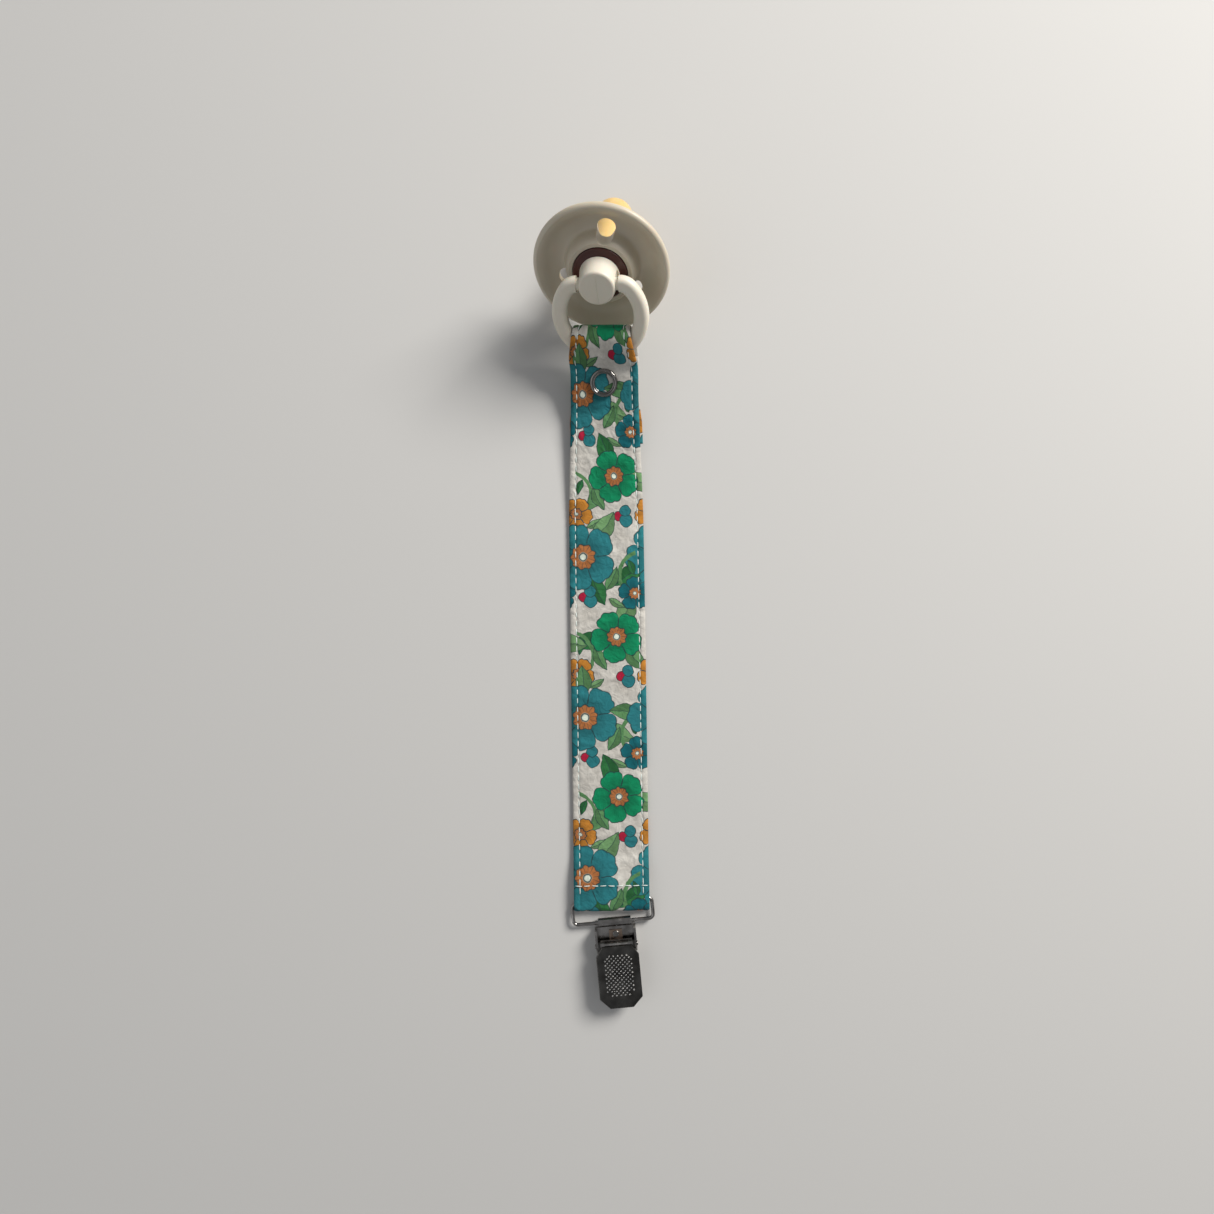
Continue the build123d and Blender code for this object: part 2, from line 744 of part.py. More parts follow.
# ---------------------------------------------------------------- pin, pad, spring, rivet
with BuildPart() as lever_pin:
    with BuildSketch(clip_side.offset(-walls_width / 2 - pin_head)):
        with Locations((pin_along, pin_height)):
            Circle(pin_radius)
    extrude(amount=walls_width + 2 * pin_head)
    ends = lever_pin.edges().filter_by(GeomType.CIRCLE)
    fillet(ends, pin_head * 0.8)
save(lever_pin.part, "lever_pin")

with BuildPart() as jaw_pad:
    with BuildSketch(clip_frame.offset(base_thickness)):
        with Locations((0, free_end + 0.6 + pad_length / 2)):
            RectangleRounded(jaw_width - 1.5, pad_length, 0.8)
    extrude(amount=pad_thickness)
save(jaw_pad.part, "jaw_pad")

rivet_along = clip_half - 4.3
spring_tip = pin_along - 9.0
with BuildPart() as clip_spring:
    with BuildSketch(clip_side):
        with BuildLine():
            low = base_thickness
            high = jaw_bottom - bite_gap - spring_thickness
            Polyline(
                (rivet_along + 1.4, low), (rivet_along + 1.4, low + spring_thickness),
                (rivet_along - 1.6, low + spring_thickness), (spring_tip, high + spring_thickness),
                (spring_tip, high), (rivet_along - 1.5, low), (rivet_along + 1.4, low),
            )
        make_face()
    extrude(amount=spring_width / 2, both=True)
save(clip_spring.part, "clip_spring")

with BuildPart() as spring_rivet:
    with BuildSketch(clip_frame.offset(base_thickness + spring_thickness)):
        with Locations((0, rivet_along)):
            Circle(rivet_radius)
    extrude(amount=rivet_height)
    crown = [
        e for e in spring_rivet.edges().filter_by(GeomType.CIRCLE)
        if e.arc_center.Z > base_thickness + spring_thickness + 0.1
    ]
    fillet(crown, rivet_height * 0.7)
save(spring_rivet.part, "spring_rivet")
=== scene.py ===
# %% [markdown]
# # A pacifier on a flowered strap, with a suspender clip
# The model's frame comes first: rigid pieces with their real sizes, in metres. This lesson adds
# what a maker of looks adds: the sewn cloth, its print and its stitches, the soft teat, and the
# finish of every plastic, rubber and metal piece. The frame is never moved or resized.

# %% Load the frame and keep its box
import json
from math import atan, cos, pi, radians, sin, sqrt

import bmesh
import bpy
from mathutils import Matrix, Vector, noise


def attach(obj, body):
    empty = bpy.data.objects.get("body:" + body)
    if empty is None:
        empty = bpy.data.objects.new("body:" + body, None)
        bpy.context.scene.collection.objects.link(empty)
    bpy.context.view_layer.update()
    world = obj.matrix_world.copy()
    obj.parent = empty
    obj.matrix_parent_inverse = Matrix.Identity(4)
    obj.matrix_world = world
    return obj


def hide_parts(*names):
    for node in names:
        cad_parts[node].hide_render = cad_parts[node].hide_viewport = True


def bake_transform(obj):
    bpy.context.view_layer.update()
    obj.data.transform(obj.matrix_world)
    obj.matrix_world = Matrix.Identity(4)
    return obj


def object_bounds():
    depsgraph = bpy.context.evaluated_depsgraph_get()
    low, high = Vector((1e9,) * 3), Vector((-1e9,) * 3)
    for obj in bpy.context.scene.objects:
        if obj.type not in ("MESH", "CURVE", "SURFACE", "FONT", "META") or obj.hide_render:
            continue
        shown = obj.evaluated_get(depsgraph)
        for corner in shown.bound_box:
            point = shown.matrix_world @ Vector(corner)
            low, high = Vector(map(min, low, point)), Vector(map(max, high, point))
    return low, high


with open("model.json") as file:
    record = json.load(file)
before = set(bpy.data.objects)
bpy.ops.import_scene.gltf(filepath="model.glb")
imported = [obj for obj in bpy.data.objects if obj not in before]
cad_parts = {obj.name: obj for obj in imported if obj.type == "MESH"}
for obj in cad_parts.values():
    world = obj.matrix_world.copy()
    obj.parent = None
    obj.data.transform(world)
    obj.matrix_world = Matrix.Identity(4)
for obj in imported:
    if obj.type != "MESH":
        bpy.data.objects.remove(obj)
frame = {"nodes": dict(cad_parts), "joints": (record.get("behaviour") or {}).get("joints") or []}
cad_box = [list(corner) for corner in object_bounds()]
nodes = frame["nodes"]
joints = {j["name"]: j for j in frame["joints"]}
MM = 0.001
print("nodes:", len(nodes), "joints:", sorted(joints))

# %% [markdown]
# ## Landmarks
# Every new piece hangs on the joints of the frame: the ring's lowest point, the pivot in the knob,
# the middle of the shield and the wire in the hem. Heights and bends in between are then given
# in millimetres from these places.

# %% Read the landmarks from the joints
ring_low = Vector(joints["strap_bend"]["pos_m"])
across_ring = Vector(joints["strap_bend"]["axis"]).normalized()
pivot = Vector(joints["ring_swing"]["pos_m"])
rim_centre = Vector(joints["shield_swivel"]["pos_m"])
shield_out = Vector(joints["shield_swivel"]["axis"]).normalized()
hem_wire = Vector(joints["wire_hinge"]["pos_m"])
ring_up = (pivot - ring_low).normalized()
ring_out = across_ring.cross(ring_up).normalized()
strap_x = ring_low.x
print("ring low point (mm):", [round(c / MM, 1) for c in ring_low], "out:", ring_out)


# %% Selecting one piece, and handing a piece over
def only(piece):
    """Deselect everything, then select this piece alone and make it active."""
    if bpy.context.mode != "OBJECT":
        bpy.ops.object.mode_set(mode="OBJECT")
    bpy.ops.object.select_all(action="DESELECT")
    piece.select_set(True)
    bpy.context.view_layer.objects.active = piece


def settle(piece, name, material):
    """Name a finished piece, leave its place in its mesh, and give it its finish."""
    only(piece)
    bpy.ops.object.transform_apply(location=True, rotation=True, scale=True)
    piece.name = name
    piece.data.name = name
    piece.data.materials.clear()
    piece.data.materials.append(material)
    print(name, "faces:", len(piece.data.polygons))
    return piece


# %% Closing a shell
def close_shell(piece):
    """Merge doubled points, turn the faces outwards and smooth the shading."""
    only(piece)
    bpy.ops.object.mode_set(mode="EDIT")
    bpy.ops.mesh.select_all(action="SELECT")
    bpy.ops.mesh.remove_doubles(threshold=0.000004)
    bpy.ops.mesh.normals_make_consistent(inside=False)
    bpy.ops.object.mode_set(mode="OBJECT")
    bpy.ops.object.shade_smooth()


print("helpers: only, settle, close_shell")


# %% Giving pieces of the frame a finish
def coat(names, material):
    """Put one finish on pieces of the frame, in place of their plain colour."""
    for name in names:
        nodes[name].data.materials.clear()
        nodes[name].data.materials.append(material)
    print(material.name, "on", ", ".join(names))


print("frame pieces that can take a finish:", len(nodes))

# %% [markdown]
# ## Camera, light and floor
# The object is looked at from straight above with a wide phone-like lens, so pieces that stand
# higher look larger. A wide soft lamp at the right gives long soft shadows to the left, and a
# weak one from the left keeps them open.

# %% Camera, straight above, turned a little against the strap
camera_height = 0.278
camera_along = 0.1194
camera_lean = radians(-0.83)
lens_share = 820 / 1214
camera_data = bpy.data.cameras.new("camera_above")
camera_data.sensor_width = 36.0
camera_data.lens = camera_data.sensor_width * lens_share
camera_data.clip_start = 0.01
camera = bpy.data.objects.new("camera_above", camera_data)
camera.location = (strap_x - 0.17 * MM, camera_along, camera_height)
camera.rotation_euler = (0.0, 0.0, camera_lean)
bpy.context.scene.collection.objects.link(camera)
bpy.context.scene.camera = camera
print("camera lens (mm):", round(camera_data.lens, 2))


# %% Soft lamps and an even, pale surrounding light
def soft_lamp(name, place, aim, size, power, colour):
    """Square area lamp at a place, pointing at aim."""
    data = bpy.data.lights.new(name, "AREA")
    data.shape = "SQUARE"
    data.size = size
    data.energy = power
    data.color = colour
    lamp = bpy.data.objects.new(name, data)
    lamp.location = place
    lamp.rotation_euler = (Vector(aim) - Vector(place)).to_track_quat("-Z", "Y").to_euler()
    bpy.context.scene.collection.objects.link(lamp)
    return lamp


middle = Vector((strap_x, camera_along, 0.0))
window_place = middle + Vector((0.80, 0.72, 0.72))
fill_place = middle + Vector((-0.8, -0.25, 0.7))
soft_lamp("window_right", window_place, middle, 0.48, 23.0, (1.0, 0.98, 0.95))
soft_lamp("fill_left", fill_place, middle, 0.9, 1.5, (0.95, 0.97, 1.0))
world = bpy.data.worlds.new("even_light")
world.use_nodes = True
background = world.node_tree.nodes["Background"]
background.inputs["Color"].default_value = (0.86, 0.88, 0.92, 1.0)
background.inputs["Strength"].default_value = 0.30
bpy.context.scene.world = world
bpy.context.scene.view_settings.view_transform = "Standard"
print("lamps placed round", [round(c, 3) for c in middle])

# %% [markdown]
# ## Finishes
# A finish is a small node tree. These helpers keep each one readable: `shader` starts a material
# with its principled shader, and `link` joins an output to an input.


# %% Node helpers
def shader(name, **sockets):
    """New material; the named values go straight on the shader's own sockets."""
    material = bpy.data.materials.new(name)
    material.use_nodes = True
    tree = material.node_tree
    principled = tree.nodes["Principled BSDF"]
    for key, value in sockets.items():
        principled.inputs[key.replace("_", " ")].default_value = value
    return material, tree, principled


def link(tree, out_socket, in_socket):
    """Join an output to an input."""
    tree.links.new(out_socket, in_socket)


def texture(tree, kind, vector, **sockets):
    """A texture node on a vector, with its settings."""
    made = tree.nodes.new(kind)
    for key, value in sockets.items():
        made.inputs[key.replace("_", " ")].default_value = value
    link(tree, vector, made.inputs["Vector"])
    return made


def ramp(tree, value, low, high, dark, light):
    """Map value from low..high to dark..light, both given as colours."""
    made = tree.nodes.new("ShaderNodeValToRGB")
    made.color_ramp.elements[0].position = low
    made.color_ramp.elements[0].color = dark
    made.color_ramp.elements[1].position = high
    made.color_ramp.elements[1].color = light
    link(tree, value, made.inputs["Fac"])
    return made.outputs["Color"]


def bump(tree, principled, height, strength, distance, below=None):
    """Raise the surface by height, on top of the bump below it if there is one."""
    made = tree.nodes.new("ShaderNodeBump")
    made.inputs["Strength"].default_value = strength
    made.inputs["Distance"].default_value = distance
    link(tree, height, made.inputs["Height"])
    if below is not None:
        link(tree, below, made.inputs["Normal"])
    link(tree, made.outputs["Normal"], principled.inputs["Normal"])
    return made.outputs["Normal"]


def own_place(tree):
    """Place on the piece itself, so a pattern stays on it when it moves."""
    return tree.nodes.new("ShaderNodeTexCoord").outputs["Object"]


def grey(value):
    """A number written as a colour, for a ramp that drives roughness."""
    return (value, value, value, 1)


print("node helpers: shader, link, texture, ramp, bump, own_place, grey")


# %% [markdown]
# The shield, knob and ring are moulded in one warm ivory plastic; the shield's darker copy is painted
# shade over its dish. It is almost smooth and a little soft in the light. Fine rub marks change only its
# gloss.


# %% Moulded plastic
def moulded_plastic(name, light, dark, rough=0.42):
    """Warm plastic with a cloudy colour, rub marks in its gloss and a fine grain."""
    material, tree, principled = shader(
        name, Roughness=rough, IOR=1.47, Subsurface_Weight=0.10, Subsurface_Scale=0.0012,
        Coat_Weight=0.10, Coat_Roughness=0.35,
    )
    place = own_place(tree)
    cloud = texture(tree, "ShaderNodeTexNoise", place, Scale=70.0, Detail=4.0)
    colour = ramp(tree, cloud.outputs["Fac"], 0.35, 0.70, dark, light)
    link(tree, colour, principled.inputs["Base Color"])
    rub = texture(tree, "ShaderNodeTexNoise", place, Scale=420.0, Detail=3.0)
    gloss = ramp(tree, rub.outputs["Fac"], 0.3, 0.75, grey(rough - 0.08), grey(rough + 0.12))
    link(tree, gloss, principled.inputs["Roughness"])
    grain = texture(tree, "ShaderNodeTexNoise", place, Scale=2600.0, Detail=2.0)
    bump(tree, principled, grain.outputs["Fac"], 0.10, 0.00006)
    return material


ivory_plastic = moulded_plastic("ivory_plastic", (0.74, 0.69, 0.585, 1), (0.69, 0.635, 0.52, 1))
# painted shade: the shield takes a darker copy of the ivory plastic, standing in for shade over its dish
shaded_shield_plastic = moulded_plastic("shaded_shield_plastic", (0.59, 0.53, 0.42, 1), (0.53, 0.465, 0.355, 1))
white_plastic = moulded_plastic("white_plastic", (0.72, 0.71, 0.66, 1), (0.66, 0.65, 0.60, 1))
coat(("knob", "ring"), ivory_plastic)
coat(("shield",), shaded_shield_plastic)
coat(("lock_plug", "jaw_pad"), white_plastic)

# %% [markdown]
# Natural rubber comes in two looks here. The thin-walled teat is a milky honey colour that lets
# light through, so it needs subsurface scattering; the thick disc under the knob has gone a dark
# red-brown and only shines a little.


# %% Rubber finishes
def rubber(name, light, dark, rough, scatter, bump_size):
    """Natural rubber; scatter is how much light goes through it."""
    material, tree, principled = shader(
        name, Roughness=rough, IOR=1.52, Subsurface_Weight=scatter, Subsurface_Scale=0.004,
    )
    principled.inputs["Subsurface Radius"].default_value = (1.0, 0.62, 0.25)
    place = own_place(tree)
    cloud = texture(tree, "ShaderNodeTexNoise", place, Scale=110.0, Detail=5.0)
    colour = ramp(tree, cloud.outputs["Fac"], 0.3, 0.72, dark, light)
    link(tree, colour, principled.inputs["Base Color"])
    skin = texture(tree, "ShaderNodeTexNoise", place, Scale=900.0, Detail=3.0)
    bump(tree, principled, skin.outputs["Fac"], 0.15, bump_size)
    return material


honey, deep_honey = (0.74, 0.53, 0.22, 1), (0.64, 0.42, 0.14, 1)
red_brown, near_black = (0.085, 0.020, 0.012, 1), (0.045, 0.010, 0.006, 1)
honey_latex = rubber("honey_latex", honey, deep_honey, 0.38, 0.55, 0.0001)
brown_rubber = rubber("brown_rubber", red_brown, near_black, 0.36, 0.05, 0.00008)
coat(("retaining_disc",), brown_rubber)

# %% [markdown]
# The clip is stamped steel with a dark, bright nickel plate, and the snap is the same metal a
# little blacker. The lever's plate is a far darker copy, a painted dark reflection, and the tips of
# its knurls are painted near white as painted highlights. Fine lengthwise brushing, cloudy tarnish
# and worn, brighter spots keep the plate from looking like a mirror.


# %% Nickel plate
def nickel(name, bright, dull, rough, knurl_foot=None):
    """Nickel plate. With knurl_foot, the height where knurls start, the knurl tips get a painted highlight:
    a near-white colour.
    """
    material, tree, principled = shader(name, Metallic=1.0, Roughness=rough)
    place = own_place(tree)
    cloud = texture(tree, "ShaderNodeTexNoise", place, Scale=240.0, Detail=6.0)
    colour = ramp(tree, cloud.outputs["Fac"], 0.32, 0.68, dull, bright)
    if knurl_foot is not None:
        apart = tree.nodes.new("ShaderNodeSeparateXYZ")
        link(tree, place, apart.inputs[0])
        # painted highlight: above knurl_foot the colour goes near white, standing in for glints on the knurl
        # tips
        tip = tree.nodes.new("ShaderNodeMapRange")
        tip.inputs["From Min"].default_value = knurl_foot + 0.00006
        tip.inputs["From Max"].default_value = knurl_foot + 0.00014
        link(tree, apart.outputs["Z"], tip.inputs["Value"])
        painted_glint = tree.nodes.new("ShaderNodeMix")
        painted_glint.data_type = "RGBA"
        link(tree, tip.outputs["Result"], painted_glint.inputs["Factor"])
        link(tree, colour, painted_glint.inputs["A"])
        painted_glint.inputs["B"].default_value = (1.0, 0.98, 0.94, 1)
        colour = painted_glint.outputs["Result"]
    link(tree, colour, principled.inputs["Base Color"])
    wear = texture(tree, "ShaderNodeTexNoise", place, Scale=650.0, Detail=5.0)
    gloss = ramp(tree, wear.outputs["Fac"], 0.35, 0.7, grey(rough - 0.08), grey(rough + 0.16))
    link(tree, gloss, principled.inputs["Roughness"])
    stretched = tree.nodes.new("ShaderNodeMapping")
    stretched.inputs["Scale"].default_value = (6.0, 0.5, 6.0)
    link(tree, place, stretched.inputs["Vector"])
    along_brush = stretched.outputs["Vector"]
    brushing = texture(tree, "ShaderNodeTexNoise", along_brush, Scale=900.0, Detail=2.0)
    bump(tree, principled, brushing.outputs["Fac"], 0.05, 0.00002)
    return material


# %% Plate on the clip and the snap
lever_top = max(v.co.z for v in nodes["clip_lever"].data.vertices)
knurl_foot = lever_top - 0.0003
clip_nickel = nickel("clip_nickel", (0.42, 0.40, 0.38, 1), (0.16, 0.15, 0.14, 1), 0.17)
# painted dark reflection: the lever's nickel is a far darker copy of the clip's, with painted highlights on
# its knurl tips
lever_nickel_painted_reflection = nickel(
    "lever_nickel_painted_reflection", (0.13, 0.125, 0.115, 1), (0.055, 0.052, 0.048, 1), 0.20, knurl_foot,
)
snap_nickel = nickel("snap_nickel", (0.24, 0.23, 0.215, 1), (0.17, 0.16, 0.15, 1), 0.14)
spring_steel = nickel("spring_steel", (0.42, 0.33, 0.26, 1), (0.26, 0.19, 0.15, 1), 0.30)
coat(("wire_loop", "clip_base", "clip_inner_jaw", "lever_pin", "spring_rivet"), clip_nickel)
coat(("clip_lever",), lever_nickel_painted_reflection)
coat(("snap_socket", "snap_stud"), snap_nickel)
coat(("clip_spring",), spring_steel)

# %% [markdown]
# ## The flower print
# The cotton is off-white, printed with round five-petalled blooms in teal, emerald and ochre with
# rust-brown hearts, green leaves, and red and teal berries, all with a dark drawn outline, and with
# thin plain stems. The
# pattern is worked out on the cloth's own UV map, in millimetres across and along the tube, so
# it bends with the strap. One node group draws a bloom, one a leaf, one a berry and one a stem,
# and each is used many times.


# %% A small calculator for node groups
class Sums:
    """Writes sums as math nodes in one node group."""

    def __init__(self, tree):
        self.tree = tree

    def sum(self, kind, *values):
        """One math node on sockets or plain numbers."""
        made = self.tree.nodes.new("ShaderNodeMath")
        made.operation = kind
        for i, value in enumerate(values):
            if isinstance(value, (int, float)):
                made.inputs[i].default_value = value
            else:
                link(self.tree, value, made.inputs[i])
        return made.outputs[0]

    def soft(self, value, low, high):
        """0 below low, 1 above high, smooth between."""
        made = self.tree.nodes.new("ShaderNodeMapRange")
        made.interpolation_type = "SMOOTHSTEP"
        made.inputs["From Min"].default_value = low
        made.inputs["From Max"].default_value = high
        link(self.tree, value, made.inputs["Value"])
        return made.outputs["Result"]

    def fade(self, value, low, high):
        """1 below low, 0 above high, smooth between."""
        return self.sum("SUBTRACT", 1.0, self.soft(value, low, high))

    def distance(self, u, v):
        """How far a place is from the motif's middle."""
        return self.sum("SQRT", self.sum("ADD", self.sum("MULTIPLY", u, u), self.sum("MULTIPLY", v, v)))

    def mix(self, factor, under, over):
        """Lay one colour over another by factor."""
        made = self.tree.nodes.new("ShaderNodeMix")
        made.data_type = "RGBA"
        link(self.tree, factor, made.inputs["Factor"])
        for socket, value in ((made.inputs["A"], under), (made.inputs["B"], over)):
            if isinstance(value, tuple):
                socket.default_value = value
            else:
                link(self.tree, value, socket)
        return made.outputs["Result"]


print("sums ready:", [word for word in vars(Sums) if not word.startswith("_")])


# %% Start a motif, repeated like bricks
cloth_width = 25.4
half_cloth = cloth_width / 2
repeat_along = 108.0
ink_line = (0.018, 0.045, 0.050, 1)


def motif_group(name, extra):
    """A group that takes the cloth under it and lays one motif on top."""
    tree = bpy.data.node_groups.new(name, "ShaderNodeTree")
    face = tree.interface
    face.new_socket("Cloth", in_out="INPUT", socket_type="NodeSocketColor")
    face.new_socket("Place", in_out="INPUT", socket_type="NodeSocketVector")
    for socket in ("Across", "Along", "Size", "Turn") + extra:
        kind = "NodeSocketColor" if socket.startswith("Ink") else "NodeSocketFloat"
        face.new_socket(socket, in_out="INPUT", socket_type=kind)
    face.new_socket("Cloth", in_out="OUTPUT", socket_type="NodeSocketColor")
    inside = tree.nodes.new("NodeGroupInput")
    outside = tree.nodes.new("NodeGroupOutput")
    s = Sums(tree)
    apart = tree.nodes.new("ShaderNodeSeparateXYZ")
    link(tree, inside.outputs["Place"], apart.inputs[0])

    # the motif repeats across, and each repeat is moved half a period along, like bricks
    away = s.sum("SUBTRACT", apart.outputs["X"], inside.outputs["Across"])
    column = s.sum("FLOOR", s.sum("ADD", s.sum("DIVIDE", away, cloth_width), 0.5))
    x = s.sum("SUBTRACT", away, s.sum("MULTIPLY", column, cloth_width))
    away = s.sum("SUBTRACT", apart.outputs["Y"], inside.outputs["Along"])
    away = s.sum("ADD", away, s.sum("MULTIPLY", column, repeat_along / 2))
    row = s.sum("FLOOR", s.sum("ADD", s.sum("DIVIDE", away, repeat_along), 0.5))
    y = s.sum("SUBTRACT", away, s.sum("MULTIPLY", row, repeat_along))
    x, y = (s.sum("DIVIDE", v, inside.outputs["Size"]) for v in (x, y))
    turn_cos = s.sum("COSINE", inside.outputs["Turn"])
    turn_sin = s.sum("SINE", inside.outputs["Turn"])
    u = s.sum("ADD", s.sum("MULTIPLY", x, turn_cos), s.sum("MULTIPLY", y, turn_sin))
    v = s.sum("SUBTRACT", s.sum("MULTIPLY", y, turn_cos), s.sum("MULTIPLY", x, turn_sin))
    return tree, s, inside, outside, u, v


print("pattern repeats every", cloth_width, "mm across and", repeat_along, "mm along")


# %% Draw a bloom
def bloom_group():
    """Five petals with scalloped rims, petal lines, and a heart ringed with stamens."""
    tree, s, inside, outside, u, v = motif_group("bloom", ("Ink petal", "Ink heart", "Line"))
    far = s.distance(u, v)
    angle = s.sum("ARCTAN2", v, u)
    lobe = s.sum("ABSOLUTE", s.sum("COSINE", s.sum("MULTIPLY", angle, 2.5)))
    scallop = s.sum("ABSOLUTE", s.sum("COSINE", s.sum("MULTIPLY", angle, 7.5)))
    notch = s.sum("MULTIPLY", scallop, 0.05)
    rim = s.sum("ADD", s.sum("MULTIPLY", s.sum("POWER", lobe, 0.42), 0.30), 0.66)
    rim = s.sum("ADD", rim, notch)
    inside_rim = s.sum("SUBTRACT", rim, far)
    line = inside.outputs["Line"]
    whole = s.soft(inside_rim, -0.015, 0.015)
    drawn = s.fade(s.sum("SUBTRACT", inside_rim, line), -0.02, 0.02)
    fold = s.sum("MULTIPLY", lobe, far)
    fold_line = s.fade(s.sum("SUBTRACT", fold, s.sum("MULTIPLY", line, 1.1)), -0.02, 0.03)
    far_enough = s.soft(far, 0.36, 0.44)
    drawn = s.sum("MAXIMUM", drawn, s.sum("MULTIPLY", fold_line, far_enough))
    # the petal is darker towards the heart, as washed-on dye is
    wash = s.soft(far, 0.30, 0.85)
    shade = tree.nodes.new("ShaderNodeHueSaturation")
    link(tree, inside.outputs["Ink petal"], shade.inputs["Color"])
    link(tree, s.sum("ADD", s.sum("MULTIPLY", wash, 0.35), 0.72), shade.inputs["Value"])
    petal = s.mix(drawn, shade.outputs["Color"], ink_line)
    frill = s.sum("MULTIPLY", s.sum("SINE", s.sum("MULTIPLY", angle, 9.0)), 0.028)
    inside_heart = s.sum("SUBTRACT", s.sum("ADD", frill, 0.37), far)
    heart = s.soft(inside_heart, -0.015, 0.015)
    heart_line = s.fade(s.sum("SUBTRACT", inside_heart, line), -0.015, 0.02)
    spoke = s.sum("ABSOLUTE", s.sum("SINE", s.sum("MULTIPLY", angle, 7.0)))
    spokes = s.sum("MULTIPLY", s.fade(spoke, 0.10, 0.32), s.soft(far, 0.15, 0.19))
    heart_ink = s.mix(s.sum("MULTIPLY", spokes, 0.75), inside.outputs["Ink heart"], ink_line)
    heart_ink = s.mix(heart_line, heart_ink, ink_line)
    eye = s.soft(s.sum("SUBTRACT", 0.13, far), -0.02, 0.02)
    eye_line = s.sum("MULTIPLY", eye, s.soft(far, 0.07, 0.11))
    heart_ink = s.mix(eye, heart_ink, (0.72, 0.78, 0.66, 1))
    heart_ink = s.mix(eye_line, heart_ink, ink_line)
    flower = s.mix(heart, petal, heart_ink)
    link(tree, s.mix(whole, inside.outputs["Cloth"], flower), outside.inputs["Cloth"])
    return tree


motifs = {"bloom": bloom_group()}
print("bloom nodes:", len(motifs["bloom"].nodes))


# %% Draw a leaf
def leaf_group():
    """Pointed leaf along its own axis, with an outline, a midrib and a darker half."""
    tree, s, inside, outside, u, v = motif_group("leaf", ("Ink leaf", "Fat", "Line"))
    span = s.sum("SUBTRACT", 1.0, s.sum("MULTIPLY", u, u))
    lean = s.sum("MAXIMUM", s.sum("ADD", s.sum("MULTIPLY", u, -0.25), 1.0), 0.5)
    half = s.sum("MULTIPLY", s.sum("MULTIPLY", span, lean), inside.outputs["Fat"])
    v = s.sum("ADD", v, s.sum("MULTIPLY", s.sum("MULTIPLY", u, u), 0.10))
    away = s.sum("ABSOLUTE", v)
    inside_rim = s.sum("SUBTRACT", half, away)
    line = inside.outputs["Line"]
    whole = s.soft(inside_rim, -0.012, 0.012)
    drawn = s.fade(s.sum("SUBTRACT", inside_rim, line), -0.02, 0.02)
    rib = s.fade(s.sum("SUBTRACT", away, s.sum("MULTIPLY", line, 0.45)), -0.01, 0.02)
    shade = tree.nodes.new("ShaderNodeHueSaturation")
    link(tree, inside.outputs["Ink leaf"], shade.inputs["Color"])
    half_tone = s.sum("SUBTRACT", 1.12, s.sum("MULTIPLY", s.soft(v, -0.03, 0.03), 0.34))
    link(tree, half_tone, shade.inputs["Value"])
    drawn = s.sum("MAXIMUM", drawn, s.sum("MULTIPLY", rib, 0.8))
    body = s.mix(drawn, shade.outputs["Color"], ink_line)
    link(tree, s.mix(whole, inside.outputs["Cloth"], body), outside.inputs["Cloth"])
    return tree


motifs["leaf"] = leaf_group()
print("leaf nodes:", len(motifs["leaf"].nodes))


# %% Draw a berry and a stem
def berry_group():
    """Round berry with an outline."""
    tree, s, inside, outside, u, v = motif_group("berry", ("Ink berry", "Line"))
    far = s.distance(u, v)
    whole = s.soft(s.sum("SUBTRACT", 1.0, far), -0.03, 0.03)
    drawn = s.soft(s.sum("ADD", far, inside.outputs["Line"]), 0.97, 1.03)
    body = s.mix(drawn, inside.outputs["Ink berry"], ink_line)
    link(tree, s.mix(whole, inside.outputs["Cloth"], body), outside.inputs["Cloth"])
    return tree


def stem_group():
    """Part of a thin curved stem: a ring of radius Size, kept on one side only."""
    tree, s, inside, outside, u, v = motif_group("stem", ("Ink stem", "Line"))
    far = s.distance(u, v)
    away = s.sum("ABSOLUTE", s.sum("SUBTRACT", far, 1.0))
    one_side = s.soft(u, 0.30, 0.34)
    thread = s.fade(s.sum("SUBTRACT", away, inside.outputs["Line"]), -0.008, 0.012)
    whole = s.sum("MULTIPLY", thread, one_side)
    link(tree, s.mix(whole, inside.outputs["Cloth"], inside.outputs["Ink stem"]), outside.inputs["Cloth"])
    return tree


motifs["berry"] = berry_group()
motifs["stem"] = stem_group()
print("motif groups:", sorted(motifs))

# %% [markdown]
# The motifs are laid row by row. Each row has one large bloom on one side, a small one on the
# other side, leaves round both, a stem and three berries. Rows swap sides, so no two rows
# beside one another look alike. Washed-on dye is never even, so a soft noise varies it.


# %% Dyes, and a page to lay motifs on
def ink(red, green, blue):
    """Colour given in the usual 0 to 255 steps, as linear light."""
    return tuple((c / 255) ** 2.2 for c in (red, green, blue)) + (1.0,)


DYES = {
    "emerald": ink(16, 128, 86), "teal": ink(44, 116, 122), "deep teal": ink(24, 98, 106),
    "leaf": ink(88, 132, 86), "deep leaf": ink(46, 104, 60), "ochre": ink(184, 122, 50),
    "heart": ink(168, 106, 62), "berry": ink(168, 34, 60), "moss": ink(104, 142, 96),
}


